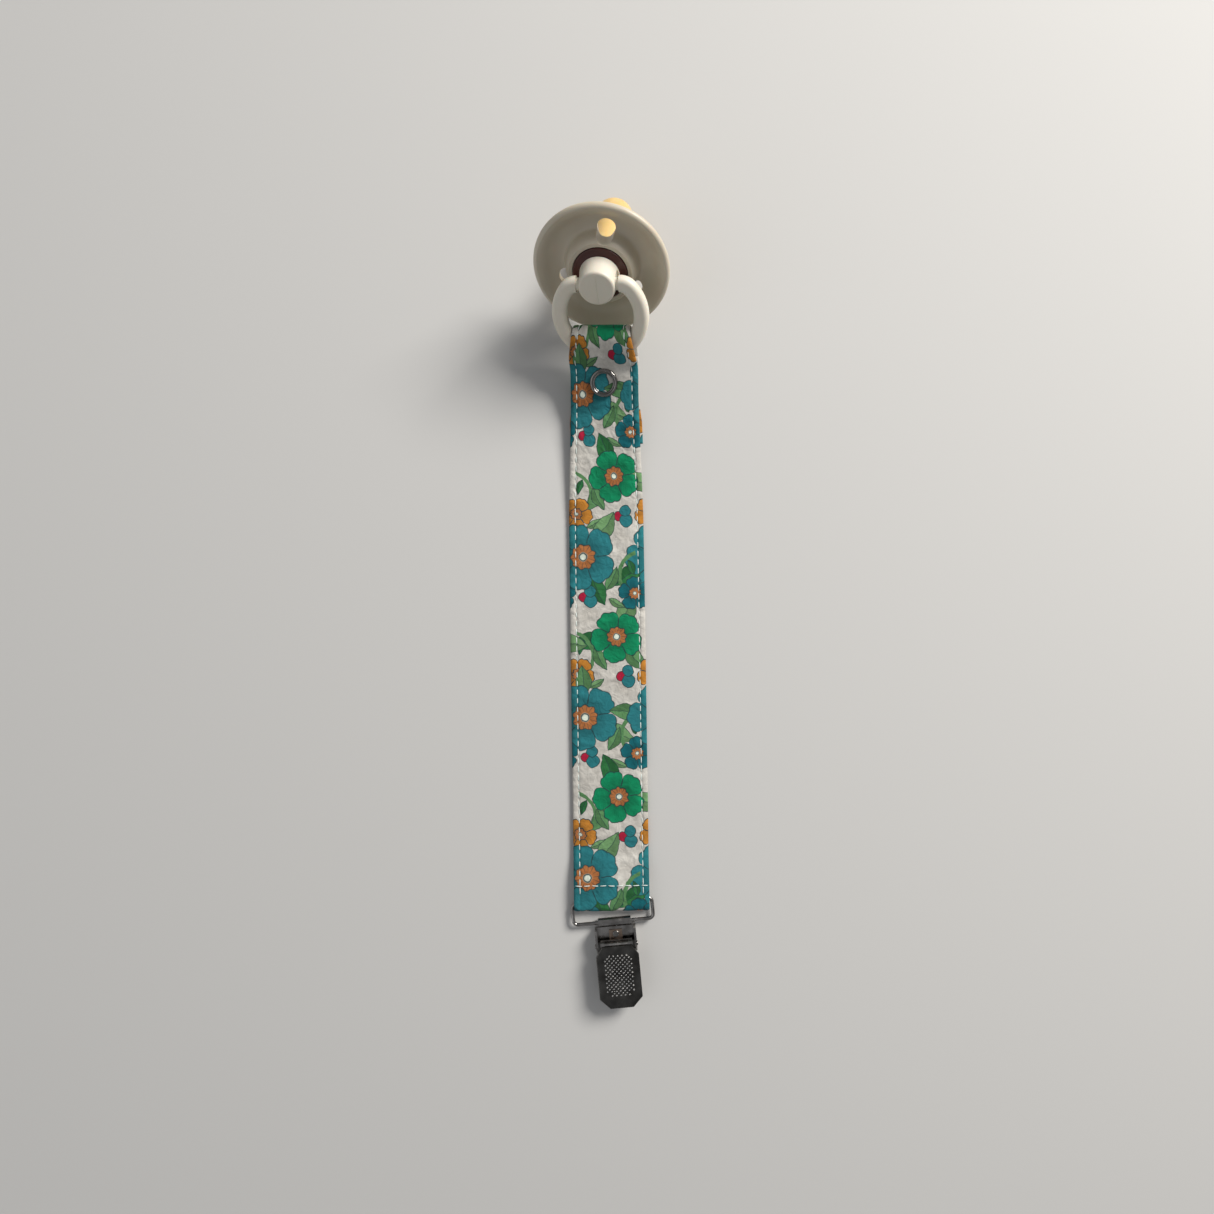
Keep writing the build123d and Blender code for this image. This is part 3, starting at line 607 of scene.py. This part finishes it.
class Print:
    """Lays motifs one over another, starting from the bare cloth."""

    def __init__(self, tree, cloth, place):
        self.tree, self.cloth, self.place = tree, cloth, place
        self.count = 0

    def lay(self, kind, across, along, size, turn=0.0, **inks):
        """One motif, its middle across and along the cloth, in millimetres."""
        made = self.tree.nodes.new("ShaderNodeGroup")
        made.node_tree = motifs[kind]
        link(self.tree, self.cloth, made.inputs["Cloth"])
        link(self.tree, self.place, made.inputs["Place"])
        made.inputs["Across"].default_value = across
        made.inputs["Along"].default_value = along
        made.inputs["Size"].default_value = size
        made.inputs["Turn"].default_value = turn
        for key, value in inks.items():
            made.inputs[key.replace("_", " ")].default_value = value
        self.cloth = made.outputs["Cloth"]
        self.count += 1

    def leaf(self, across, along, length, turn, colour="leaf", fat=0.42):
        self.lay("leaf", across, along, length / 2, turn, Ink_leaf=DYES[colour], Fat=fat, Line=0.36 / length)

    def bloom(self, across, along, size, turn, colour, heart="heart"):
        self.lay("bloom", across, along, size, turn, Ink_petal=DYES[colour], Ink_heart=DYES[heart],
                 Line=0.30 / size)


print("dyes:", ", ".join(sorted(DYES)))


# %% Lay one row of the pattern
def lay_row(page, row, side, along):
    """One row of the pattern: side is 1 or -1, along is where the row starts."""
    large = ("emerald", "teal")[row % 2]
    size = (9.0, 11.4)[row % 2]
    out = (3.4, 7.6)[row % 2]
    across = half_cloth + side * out
    centre = along + 9.5
    # leaves look out from under the large bloom
    for i, colour in enumerate(("leaf", "deep leaf", "moss")):
        turn = (0.9 + 2.1 * i + 0.7 * row) * side
        reach = size * 1.08
        page.leaf(across + reach * cos(turn), centre + reach * sin(turn), 10.5 + i, turn, colour, 0.52)
    edge = half_cloth - side * 9.8
    small_along = along + 22.0
    page.lay("stem", edge - side * 3.0, small_along - 6.0, 8.2, 0.0 if side > 0 else pi,
             Ink_stem=DYES["leaf"], Line=0.075)
    page.leaf(edge + side * 7.4, small_along - 5.0, 9.0, 1.1 * side, "leaf", 0.44)
    page.leaf(edge + side * 6.2, small_along + 3.4, 6.4, -0.5 * side, "moss", 0.40)
    page.leaf(edge + side * 1.0, small_along - 9.0, 5.6, 1.9 * side, "deep leaf", 0.44)
    berry_across = half_cloth + side * 6.2
    page.lay("berry", berry_across - 1.5, small_along + 1.0, 1.75, Ink_berry=DYES["berry"], Line=0.13)
    page.lay("berry", berry_across + 1.0, small_along + 2.4, 2.3, Ink_berry=DYES["teal"], Line=0.10)
    page.lay("berry", berry_across + 0.8, small_along - 0.9, 2.0, Ink_berry=DYES["teal"], Line=0.11)
    small = ("ochre", "deep teal")[row % 2]
    page.bloom(edge, small_along, 5.8, 0.6 * row + 0.3, small)
    page.bloom(across, centre, size, 0.45 + 1.3 * row, large)


row_count = 4
row_step = repeat_along / row_count
print("rows in one repeat:", row_count, "one every", row_step, "mm")


# %% The printed cotton
def flowered_cotton():
    """Off-white plain weave with the print, uneven dye, threads and wrinkles."""
    material, tree, principled = shader(
        "flowered_cotton", Roughness=0.88, Specular_IOR_Level=0.18, Sheen_Weight=0.06, Sheen_Roughness=0.5,
    )
    uv = tree.nodes.new("ShaderNodeUVMap")
    uv.uv_map = "UVMap"
    place = uv.outputs["UV"]
    # a hand-drawn line is never quite true: shift the place a little with noise
    shake = texture(tree, "ShaderNodeTexNoise", place, Scale=0.42, Detail=2.0)
    nudge = tree.nodes.new("ShaderNodeVectorMath")
    nudge.operation = "MULTIPLY_ADD"
    nudge.inputs[1].default_value = (0.9, 0.9, 0.0)
    link(tree, shake.outputs["Color"], nudge.inputs[0])
    link(tree, place, nudge.inputs[2])
    ground = texture(tree, "ShaderNodeTexNoise", place, Scale=0.16, Detail=3.0)
    bare = ramp(tree, ground.outputs["Fac"], 0.3, 0.75, ink(186, 181, 172), ink(212, 208, 199))
    page = Print(tree, bare, nudge.outputs[0])
    for row in range(row_count):
        lay_row(page, row, 1 if row % 2 == 0 else -1, row_step * row)
    # the dye lies unevenly: large soft clouds and the grain of the threads
    s = Sums(tree)
    cloud = texture(tree, "ShaderNodeTexNoise", place, Scale=0.55, Detail=5.0, Roughness=0.62)
    thread_grain = texture(tree, "ShaderNodeTexNoise", place, Scale=6.5, Detail=2.0)
    cloud_part = s.sum("MULTIPLY", cloud.outputs["Fac"], 0.62)
    grain_part = s.sum("MULTIPLY", thread_grain.outputs["Fac"], 0.22)
    uneven = s.sum("ADD", s.sum("ADD", cloud_part, grain_part), 0.46)
    dye = tree.nodes.new("ShaderNodeHueSaturation")
    link(tree, page.cloth, dye.inputs["Color"])
    link(tree, uneven, dye.inputs["Value"])
    link(tree, dye.outputs["Color"], principled.inputs["Base Color"])
    # plain weave: two crossing sets of threads
    thread_pitch = 0.36
    apart = tree.nodes.new("ShaderNodeSeparateXYZ")
    link(tree, place, apart.inputs[0])
    warp = s.sum("SINE", s.sum("MULTIPLY", apart.outputs["X"], 2 * pi / thread_pitch))
    weft = s.sum("SINE", s.sum("MULTIPLY", apart.outputs["Y"], 2 * pi / thread_pitch))
    weave = bump(tree, principled, s.sum("ADD", warp, weft), 0.16, 0.00005)
    wrinkle = texture(tree, "ShaderNodeTexNoise", place, Scale=0.32, Detail=4.0, Distortion=0.6)
    bump(tree, principled, wrinkle.outputs["Fac"], 0.55, 0.0011, below=weave)
    print("motifs laid:", page.count)
    return material


cotton = flowered_cotton()

# %% [markdown]
# ## The sewn cloth
# The strap is a flat cotton tube. Its middle line is written as stations: where the middle is,
# which way the width runs, half the width and the thickness. The line goes up over the ring, folds
# back through it, and ends round the hem wire at the clip.


# %% Where the strap's middle line runs
def blend(t):
    """1 at 0 and before, 0 at 1 and after, smooth between."""
    return 0.5 + 0.5 * cos(pi * min(max(t, 0.0), 1.0))


def in_ring(up, out):
    """A place given in millimetres up the ring and out of it, from the ring's low point."""
    return ring_low + ring_up * up * MM + ring_out * out * MM


def lying(down, height):
    """A place given in millimetres down the strap from the ring, and above the floor."""
    return Vector((strap_x, ring_low.y - down * MM, height * MM))


bar_slant = atan(across_ring.z / across_ring.x)
narrowing = 1.45


def width_way(down):
    """The width is tilted like the ring's bar at the top, and level further down."""
    slant = bar_slant * blend((down - 4) / 40)
    return Vector((cos(slant), 0, sin(slant)))


print("the ring's bar slants (degrees):", round(bar_slant * 180 / pi, 1))

# %% Heights of the strap above the floor
snap_down = 8.9
snap_height = ring_low.z / MM - 2.3
snap_slope = 2.75 / (snap_down - 2.2)
wire_down = (ring_low.y - hem_wire.y) / MM
hem_start = wire_down - 7.0
hem_tip = wire_down + 3.7
hem_high = 2.60
run = [
    (5.2, snap_height + 3.7 * snap_slope), (7.0, snap_height + 1.9 * snap_slope), (snap_down, snap_height),
    (12.5, snap_height - 3.6 * snap_slope), (17.0, snap_height - 8.1 * snap_slope),
    (27.0, snap_height * 0.40),
    (38.0, snap_height * 0.20 + 0.2), (52.0, 0.86), (90.0, 0.82), (150.0, 0.84),
    (hem_start - 9, 1.10), (hem_start - 3, 2.0), (hem_start, 2.5), (hem_start + 2, hem_high),
    (wire_down, hem_high), (hem_tip - 1.3, hem_high - 0.1), (hem_tip - 0.6, 2.25), (hem_tip - 0.38, 1.55),
    (hem_tip - 0.6, 0.85), (hem_tip - 1.3, 0.50), (wire_down, 0.46), (hem_start + 0.6, 0.46),
]
print("hem from", round(hem_start, 1), "to", round(hem_tip, 1), "mm down the strap")


# %% Stations of the strap
def strap_stations():
    """Middle line of the strap from behind the ring's bar to the tuck under the hem."""
    made = []
    back_bend = 3.3
    for step in range(5):
        turn = radians(50 - 12.5 * step)
        place = in_ring(-back_bend * sin(turn), -back_bend * cos(turn))
        made.append((place, across_ring, 10.9, 1.1))
    fold = (
        (3.0, -3.35), (5.9, -3.2), (7.6, -2.6), (8.7, -1.4), (9.1, 0.0), (8.7, 1.4), (7.6, 2.6),
        (5.9, 3.2), (3.0, 3.4),
    )
    for up, out in fold:
        made.append((in_ring(up, out), across_ring, 11.1 - 0.2 * up, 1.1))
    made.append((in_ring(0.0, 3.45), across_ring, 11.1, 1.15))
    made.append((in_ring(-2.0, 3.2), across_ring, 11.2, 1.15))
    for down, height in run:
        half = half_cloth - narrowing * blend((down - 4) / 60)
        thick = 1.35 - 0.6 * (1 - blend((down - hem_start + 3) / 5))
        made.append((lying(down, height), width_way(down), half, thick))
    return made


print("stations:", len(strap_stations()))


# %% Even out the stations
def even_line(stations, step):
    """Points every step along the stations, with rounded corners, and each one's frame."""
    lengths = [0.0]
    for before, after in zip(stations, stations[1:]):
        lengths.append(lengths[-1] + (after[0] - before[0]).length)
    count = max(int(lengths[-1] / step), 8)
    made, k = [], 0
    for i in range(count + 1):
        at = lengths[-1] * i / count
        while k < len(stations) - 2 and at > lengths[k + 1]:
            k += 1
        share = (at - lengths[k]) / max(lengths[k + 1] - lengths[k], 1e-9)
        first, second = stations[k], stations[k + 1]
        made.append([first[j] + (second[j] - first[j]) * share for j in range(4)])
    for _ in range(3):
        soft = [list(row) for row in made]
        for i in range(1, len(made) - 1):
            for j in range(4):
                soft[i][j] = made[i - 1][j] * 0.25 + made[i][j] * 0.5 + made[i + 1][j] * 0.25
        made = soft
    line, along_total = [], 0.0
    for i, (place, width_dir, half, thick) in enumerate(made):
        before, after = made[max(i - 1, 0)][0], made[min(i + 1, len(made) - 1)][0]
        ahead = (after - before).normalized()
        normal = ahead.cross(width_dir).normalized()
        across = normal.cross(ahead).normalized()
        if i:
            along_total += (place - made[i - 1][0]).length / MM
        line.append((place, across, normal, half, thick, along_total))
    return line


def column_places(half):
    """Places across one side, in millimetres: close together at the stitched edges."""
    near = (0.0, 0.12, 0.35, 0.75, 1.25, 1.65, 1.92, 2.1, 2.28, 2.55, 3.0, 3.6)
    inner = 12
    first = [-half + place for place in near]
    first += [-(half - 3.6) * (1 - (i + 1) / inner) for i in range(inner)]
    return first + [-place for place in reversed(first[:-1])]


columns = len(column_places(half_cloth))
print("columns across one side:", columns)


# %% [markdown]
# A flat tube starts as a grid with its own UV map. Each row of the grid becomes one closed turn
# round the tube: out over the front, back along the rear. The edges are rounded, a shallow groove
# follows each row of stitches, and the cloth puckers a little beside it.


# %% Thickness and wrinkles of the tube
stitch_inset = 2.1


def bell(share):
    """1 at 0, falling away on both sides like a bell."""
    return 2.718 ** (-share * share)


def edge_profile(place, half, thick):
    """Half thickness of the tube at one place across."""
    share = min(abs(place) / half, 1.0)
    full = thick / 2 * sqrt(max(0.0, 1 - share ** 16))
    away = (abs(place) - (half - stitch_inset)) / 0.34
    return full * (1 - 0.42 * bell(away))


def wave(place, half, along, calm, phase):
    """How far the whole cloth stands up or sinks at one place, in millimetres."""
    near_seam = bell((abs(place) - (half - 1.6)) / 1.9)
    side = 1.0 if place > 0 else -1.0
    shift = 1.9 * noise.noise(Vector((along * 0.05, side * 7.0, phase)))
    pucker = sin(2 * pi * (along + shift) / 3.1) * near_seam * 0.085
    slow = noise.noise(Vector((place * 0.10, along * 0.045, phase)))
    slanted = Vector((place * 0.16 + along * 0.10, along * 0.16 - place * 0.07, phase + 3.0))
    crease = noise.noise(slanted)
    crease = 1.0 - min(abs(crease) * 5.0, 1.0)
    inner = 1.0 - bell((abs(place) - half) / 2.2)
    return calm * (pucker + 0.42 * slow * inner + 0.24 * crease * crease * inner)


middle_half = round(edge_profile(0.0, half_cloth, 1.0), 2)
print("half thickness in the middle of a 1 mm tube:", middle_half, "mm")


# %% Sew a tube along a line
def cloth_tube(line, calm, phase=0.0, floor=0.05):
    """Closed flat tube along a line; calm takes the distance along it in millimetres."""
    turn_count = 2 * columns - 1
    bpy.ops.object.select_all(action="DESELECT")
    bpy.ops.mesh.primitive_grid_add(
        x_subdivisions=turn_count - 1, y_subdivisions=len(line) - 1, size=1.0, calc_uvs=True,
    )
    piece = bpy.context.object
    mesh = piece.data
    flat_map = [(0.0, 0.0)] * len(mesh.vertices)
    for row, (place, across, normal, half, thick, along) in enumerate(line):
        sides = column_places(half)
        end = min(row, len(line) - 1 - row)
        close = min(end / 2.0, 1.0)
        for k in range(turn_count):
            front = k < columns
            side = sides[k] if front else sides[turn_count - 1 - k]
            out = edge_profile(side, half, thick) * close
            out = out if front else -out
            out += wave(side, half, along, calm(along), phase)
            point = place + across * side * MM + normal * out * MM
            point.z = max(point.z, floor * MM)
            index = row * turn_count + k
            mesh.vertices[index].co = point
            flat = half_cloth + side * half_cloth / half
            flat_map[index] = (flat if front else 2 * cloth_width - flat, along)
    uv = mesh.uv_layers.active
    uv.name = "UVMap"
    for loop in mesh.loops:
        uv.data[loop.index].uv = flat_map[loop.vertex_index]
    close_shell(piece)
    return piece


print("points round the tube:", 2 * columns - 1)

# %% The strap's cloth
row_spacing = 0.62 * MM
strap_line = even_line(strap_stations(), row_spacing)
ring_pass = 29.0


def strap_calm(along):
    """Wrinkles die out at the ring and at the hem."""
    return (1 - blend((along - ring_pass) / 16)) * blend((along - 205) / 8)


strap_cloth = cloth_tube(strap_line, strap_calm)
settle(strap_cloth, "strap_cloth", cotton)
for node in ("strap_front", "strap_loop", "strap_hem"):
    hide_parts(node)
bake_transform(strap_cloth)

# %% [markdown]
# The flap is the strap's own end. It comes back through the ring and lies under the strap, held
# to it by the snap. It is its own piece, because it swings away when the snap is opened.

# %% The flap under the strap
under = 3.4


def flap_stations():
    """Middle line of the flap, from behind the ring's bar to its loose end."""
    made = [(in_ring(-2.53, -2.12), across_ring, 10.8, 0.9)]
    for down in (3.0, 6.0, snap_down, 12.0, 14.5):
        slant_way = width_way(down)
        fall = Vector((0, -1, -snap_slope)).normalized()
        lift = fall.cross(slant_way).normalized()
        height = snap_height - (down - snap_down) * snap_slope
        place = lying(down, height) - lift * under * MM
        made.append((place, slant_way, 12.5 - narrowing * blend((down - 4) / 60), 1.0))
    level = Vector((1, 0, 0))
    made.append((lying(20.0, 1.3) + Vector((0.3 * MM, 0, 0)), Vector((1, 0, 0.06)), 12.2, 1.0))
    made.append((lying(24.0, 0.75) + Vector((0.5 * MM, 0, 0)), level, 12.2, 1.0))
    made.append((lying(28.0, 0.66) + Vector((0.6 * MM, 0, 0)), level, 12.2, 0.8))
    return made


def flap_calm(along):
    """Flat as far as the snap, then half as wrinkled as the strap."""
    return 0.5 * (1 - blend((along - 12) / 8))


flap_phase = 9.0
flap_line = even_line(flap_stations(), row_spacing)
flap_cloth = cloth_tube(flap_line, flap_calm, phase=flap_phase)
settle(flap_cloth, "flap_cloth", cotton)
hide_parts("strap_flap")
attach(flap_cloth, "flap")

# %% [markdown]
# ## Stitches
# Each stitch is one short thread that dips into the cloth at both ends. One is modelled, and its
# mesh is copied along both edges of the strap, on its face and on its back.


# %% The thread's finish
def thread_finish():
    """Pale cotton thread with a fine twist."""
    material, tree, principled = shader("seam_thread", Roughness=0.6, Sheen_Weight=0.15)
    place = own_place(tree)
    twist = texture(tree, "ShaderNodeTexNoise", place, Scale=2600.0, Detail=2.0)
    colour = ramp(tree, twist.outputs["Fac"], 0.3, 0.7, (0.52, 0.60, 0.56, 1), (0.80, 0.86, 0.82, 1))
    link(tree, colour, principled.inputs["Base Color"])
    bump(tree, principled, twist.outputs["Fac"], 0.4, 0.0001)
    return material


thread_white = thread_finish()
print("finish made:", thread_white.name)


# %% One stitch
def one_stitch(length, thick):
    """A thread along Y from -length/2 to length/2, with its ends bent down into the cloth."""
    bpy.ops.object.select_all(action="DESELECT")
    bpy.ops.mesh.primitive_cylinder_add(
        vertices=8, radius=thick / 2, depth=length, end_fill_type="TRIFAN", rotation=(pi / 2, 0, 0),
    )
    thread = bpy.context.object
    only(thread)
    bpy.ops.object.transform_apply(location=True, rotation=True, scale=True)
    bpy.ops.object.mode_set(mode="EDIT")
    for share in (-0.36, -0.2, 0.0, 0.2, 0.36):
        bpy.ops.mesh.select_all(action="SELECT")
        bpy.ops.mesh.bisect(plane_co=(0, share * length, 0), plane_no=(0, 1, 0))
    bpy.ops.object.mode_set(mode="OBJECT")
    for vertex in thread.data.vertices:
        share = min(abs(vertex.co.y) / (length / 2), 1.0)
        slimmer = 1.0 - 0.45 * share ** 3
        vertex.co.x *= slimmer
        vertex.co.z = vertex.co.z * slimmer - 0.85 * thick * share ** 4
    return thread


stitch_length, stitch_pitch, stitch_thick = 2.25, 2.9, 0.32
stitch = one_stitch(stitch_length * MM, stitch_thick * MM)
print("faces in one stitch:", len(stitch.data.polygons))


# %% Where the stitches lie, and a row of copies
def surface_at(line, along, side_share, inset, side_up, calm, phase):
    """Place, direction and outward way on the cloth's face at one distance along the line."""
    k = 0
    while k < len(line) - 2 and line[k + 1][5] < along:
        k += 1
    share = (along - line[k][5]) / max(line[k + 1][5] - line[k][5], 1e-6)
    share = min(max(share, 0.0), 1.0)
    first, second = line[k], line[k + 1]
    place, across, normal = (first[j].lerp(second[j], share) for j in range(3))
    half, thick = (first[j] + (second[j] - first[j]) * share for j in (3, 4))
    side = side_share * (half - inset)
    out = edge_profile(side, half, thick) * side_up + wave(side, half, along, calm(along), phase)
    point = place + across * side * MM + normal * (out + 0.10 * side_up) * MM
    point.z = max(point.z, 0.10 * MM)
    ahead = (second[0] - first[0]).normalized()
    return point, ahead, (normal * side_up).normalized()


def stitch_row(name, thread, spots):
    """One mesh with a copy of the thread at each spot: place, direction, outward way."""
    out = bmesh.new()
    for point, ahead, up in spots:
        right = ahead.cross(up).normalized()
        turn = Matrix((right, ahead, right.cross(ahead))).transposed().to_4x4()
        before = len(out.verts)
        out.from_mesh(thread.data)
        out.verts.ensure_lookup_table()
        for vertex in out.verts[before:]:
            vertex.co = point + turn @ vertex.co
    mesh = bpy.data.meshes.new(name)
    out.to_mesh(mesh)
    out.free()
    row = bpy.data.objects.new(name, mesh)
    bpy.context.scene.collection.objects.link(row)
    only(row)
    bpy.ops.object.shade_smooth()
    return row


print("stitches lie", stitch_inset, "mm in from the edge, one every", stitch_pitch, "mm")

# %% The two seams of the strap
for side_name, side_share, node in (("left", -1, "left_seam_thread"), ("right", 1, "right_seam_thread")):
    spots = []
    for face in (1, -1):
        first = 8.0 if face > 0 else 30.0
        last = strap_line[-1][5] - (11.5 if face > 0 else 21.0)
        for i in range(int((last - first) / stitch_pitch)):
            along = first + i * stitch_pitch
            spots.append(surface_at(strap_line, along, side_share, stitch_inset, face, strap_calm, 0.0))
    row = stitch_row(side_name + "_stitches", stitch, spots)
    settle(row, side_name + "_stitches", thread_white)
    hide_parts(node)
    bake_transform(row)

# %% [markdown]
# The hem at the clip is closed by one row of stitches straight across, just above the wire.

# %% The cross row at the hem
cross_line = strap_line[-1][5] - 2 * (wire_down - hem_start) - 4.9
spots = []
for i in range(9):
    share = (i - 4) / 4.6
    point, ahead, up = surface_at(strap_line, cross_line, share, 0.0, 1, strap_calm, 0.0)
    sideways = up.cross(ahead).normalized()
    spots.append((point + up * 0.06 * MM, (sideways + ahead * 0.06 * (-1) ** i).normalized(), up))
cross_stitches = stitch_row("cross_stitches", stitch, spots)
settle(cross_stitches, "cross_stitches", thread_white)
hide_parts("cross_seam_thread")
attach(cross_stitches, "strap")


# %% The two seams of the flap
def half_calm(along):
    """How wrinkled the cloth is taken to be under the flap's stitches."""
    return 0.5


spots = []
for side in (-1, 1):
    for face in (1, -1):
        for i in range(int((flap_line[-1][5] - 6.0) / stitch_pitch)):
            along = 4.0 + stitch_pitch * i
            spots.append(surface_at(flap_line, along, side, stitch_inset, face, half_calm, flap_phase))
flap_stitches = stitch_row("flap_stitches", stitch, spots)
settle(flap_stitches, "flap_stitches", thread_white)
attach(flap_stitches, "flap")
bpy.data.objects.remove(stitch)

# %% [markdown]
# ## The snap's rings
# A prong snap shows a ring on the face of the cloth: an outer roll, a narrow valley and a thinner
# inner roll round an opening where the cloth comes through. The profile is a small closed loop,
# spun round the snap's own axis. The ring on the flap is the same, turned the other way.


# %% Spin the two rings
snap_way = Vector((0, 1, snap_slope)).normalized()
snap_axis = width_way(snap_down).cross(snap_way).normalized()
snap_middle = lying(snap_down, snap_height)


def roll(radius, height, half_wide, high, start, step, count):
    """Part of one roll of the ring's profile, as places (radius, height) in millimetres."""
    angles = [radians(start - step * i) for i in range(count)]
    return [(radius + half_wide * cos(a), height + high * sin(a)) for a in angles]


def snap_ring(name, start, way, node, body):
    """Double-rolled ring; start is how far its foot is along the axis, way is 1 or -1."""
    foot = [(4.58, 0.35), (4.55, 0.05), (3.05, 0.05)]
    inner_roll = roll(3.30, 0.44, 0.33, 0.34, 180, 24, 6)
    outer_roll = roll(4.02, 0.60, 0.55, 0.50, 170, 21, 9)
    profile = inner_roll + outer_roll + foot
    bpy.ops.object.select_all(action="DESELECT")
    bpy.ops.mesh.primitive_circle_add(vertices=len(profile), radius=0.001)
    ring = bpy.context.object
    right = snap_axis.orthogonal().normalized()
    for vertex, (radius, height) in zip(ring.data.vertices, profile):
        vertex.co = snap_middle + right * radius * MM + snap_axis * way * (start + height) * MM
    only(ring)
    bpy.ops.object.mode_set(mode="EDIT")
    bpy.ops.mesh.select_all(action="SELECT")
    bpy.ops.mesh.spin(steps=72, angle=2 * pi, center=tuple(snap_middle), axis=tuple(snap_axis))
    close_shell(ring)
    settle(ring, name, snap_nickel)
    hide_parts(node)
    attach(ring, body)
    return ring


snap_ring("face_ring", 0.55, 1, "snap_front_ring", "strap")
snap_ring("back_ring", under + 0.40, -1, "snap_rear_ring", "flap")

# %% [markdown]
# ## The teat
# The teat is one skin of rubber: a foot clamped to the shield, a slim neck, and a rounded bulb.
# It starts as a circle at the foot and is extruded ring by ring along the shield's axis.

# %% Extrude the teat ring by ring
foot_radius, foot_height = 8.0, -4.6
teat_rings = [
    (7.4, -5.2), (6.6, -6.6), (6.02, -8.2), (5.62, -10.0), (5.32, -12.0), (5.20, -14.0), (5.24, -16.0),
    (5.50, -18.0), (5.92, -20.5), (6.36, -22.6), (6.64, -24.8), (6.76, -27.0), (6.64, -29.0),
    (6.16, -31.0), (5.25, -32.5), (3.9, -33.5), (2.3, -34.0), (0.9, -34.1),
]
to_shield = Vector((0, 0, 1)).rotation_difference(shield_out)
bpy.ops.object.select_all(action="DESELECT")
bpy.ops.mesh.primitive_circle_add(
    vertices=64, radius=foot_radius * MM, fill_type="NOTHING",
    location=rim_centre + shield_out * foot_height * MM, rotation=to_shield.to_euler(),
)
teat = bpy.context.object
only(teat)
bpy.ops.object.transform_apply(location=True, rotation=True, scale=True)
bpy.ops.object.mode_set(mode="EDIT")
bpy.ops.mesh.select_all(action="SELECT")
radius_now, height_now = foot_radius, foot_height
for radius, height in teat_rings:
    step = shield_out * (height - height_now) * MM
    bpy.ops.mesh.extrude_region_move(TRANSFORM_OT_translate={"value": tuple(step)})
    centre = rim_centre + shield_out * height * MM
    share = radius / radius_now
    bpy.ops.transform.resize(value=(share, share, share), center_override=tuple(centre))
    radius_now, height_now = radius, height
bpy.ops.mesh.edge_face_add()
bpy.ops.mesh.inset(thickness=0.0003)
bpy.ops.mesh.select_all(action="SELECT")
bpy.ops.mesh.normals_make_consistent(inside=False)
bpy.ops.object.mode_set(mode="OBJECT")
smoother = teat.modifiers.new("smoother", "SUBSURF")
smoother.levels = 1
smoother.render_levels = 1
bpy.ops.object.modifier_apply(modifier="smoother")
bpy.ops.object.shade_smooth()
settle(teat, "latex_teat", honey_latex)
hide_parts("teat")
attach(teat, "knob")
print("teat reaches (mm) behind the shield:", -teat_rings[-1][1])

# %% [markdown]
# ## The floor
# A plain, pale floor at the frame's lowest point shows the shadows and nothing else.

# %% Floor and its finish
bpy.ops.object.select_all(action="DESELECT")
bpy.ops.mesh.primitive_plane_add(size=3.0, location=(strap_x, camera_along, cad_box[0][2]))
floor = bpy.context.object
floor.name = "floor"
floor_paint, _, floor_shader = shader("floor_paint", Roughness=0.9, Specular_IOR_Level=0.1)
floor_shader.inputs["Base Color"].default_value = (0.56, 0.55, 0.53, 1.0)
floor.data.materials.append(floor_paint)
print("floor at (mm):", round(cad_box[0][2] / MM, 2))
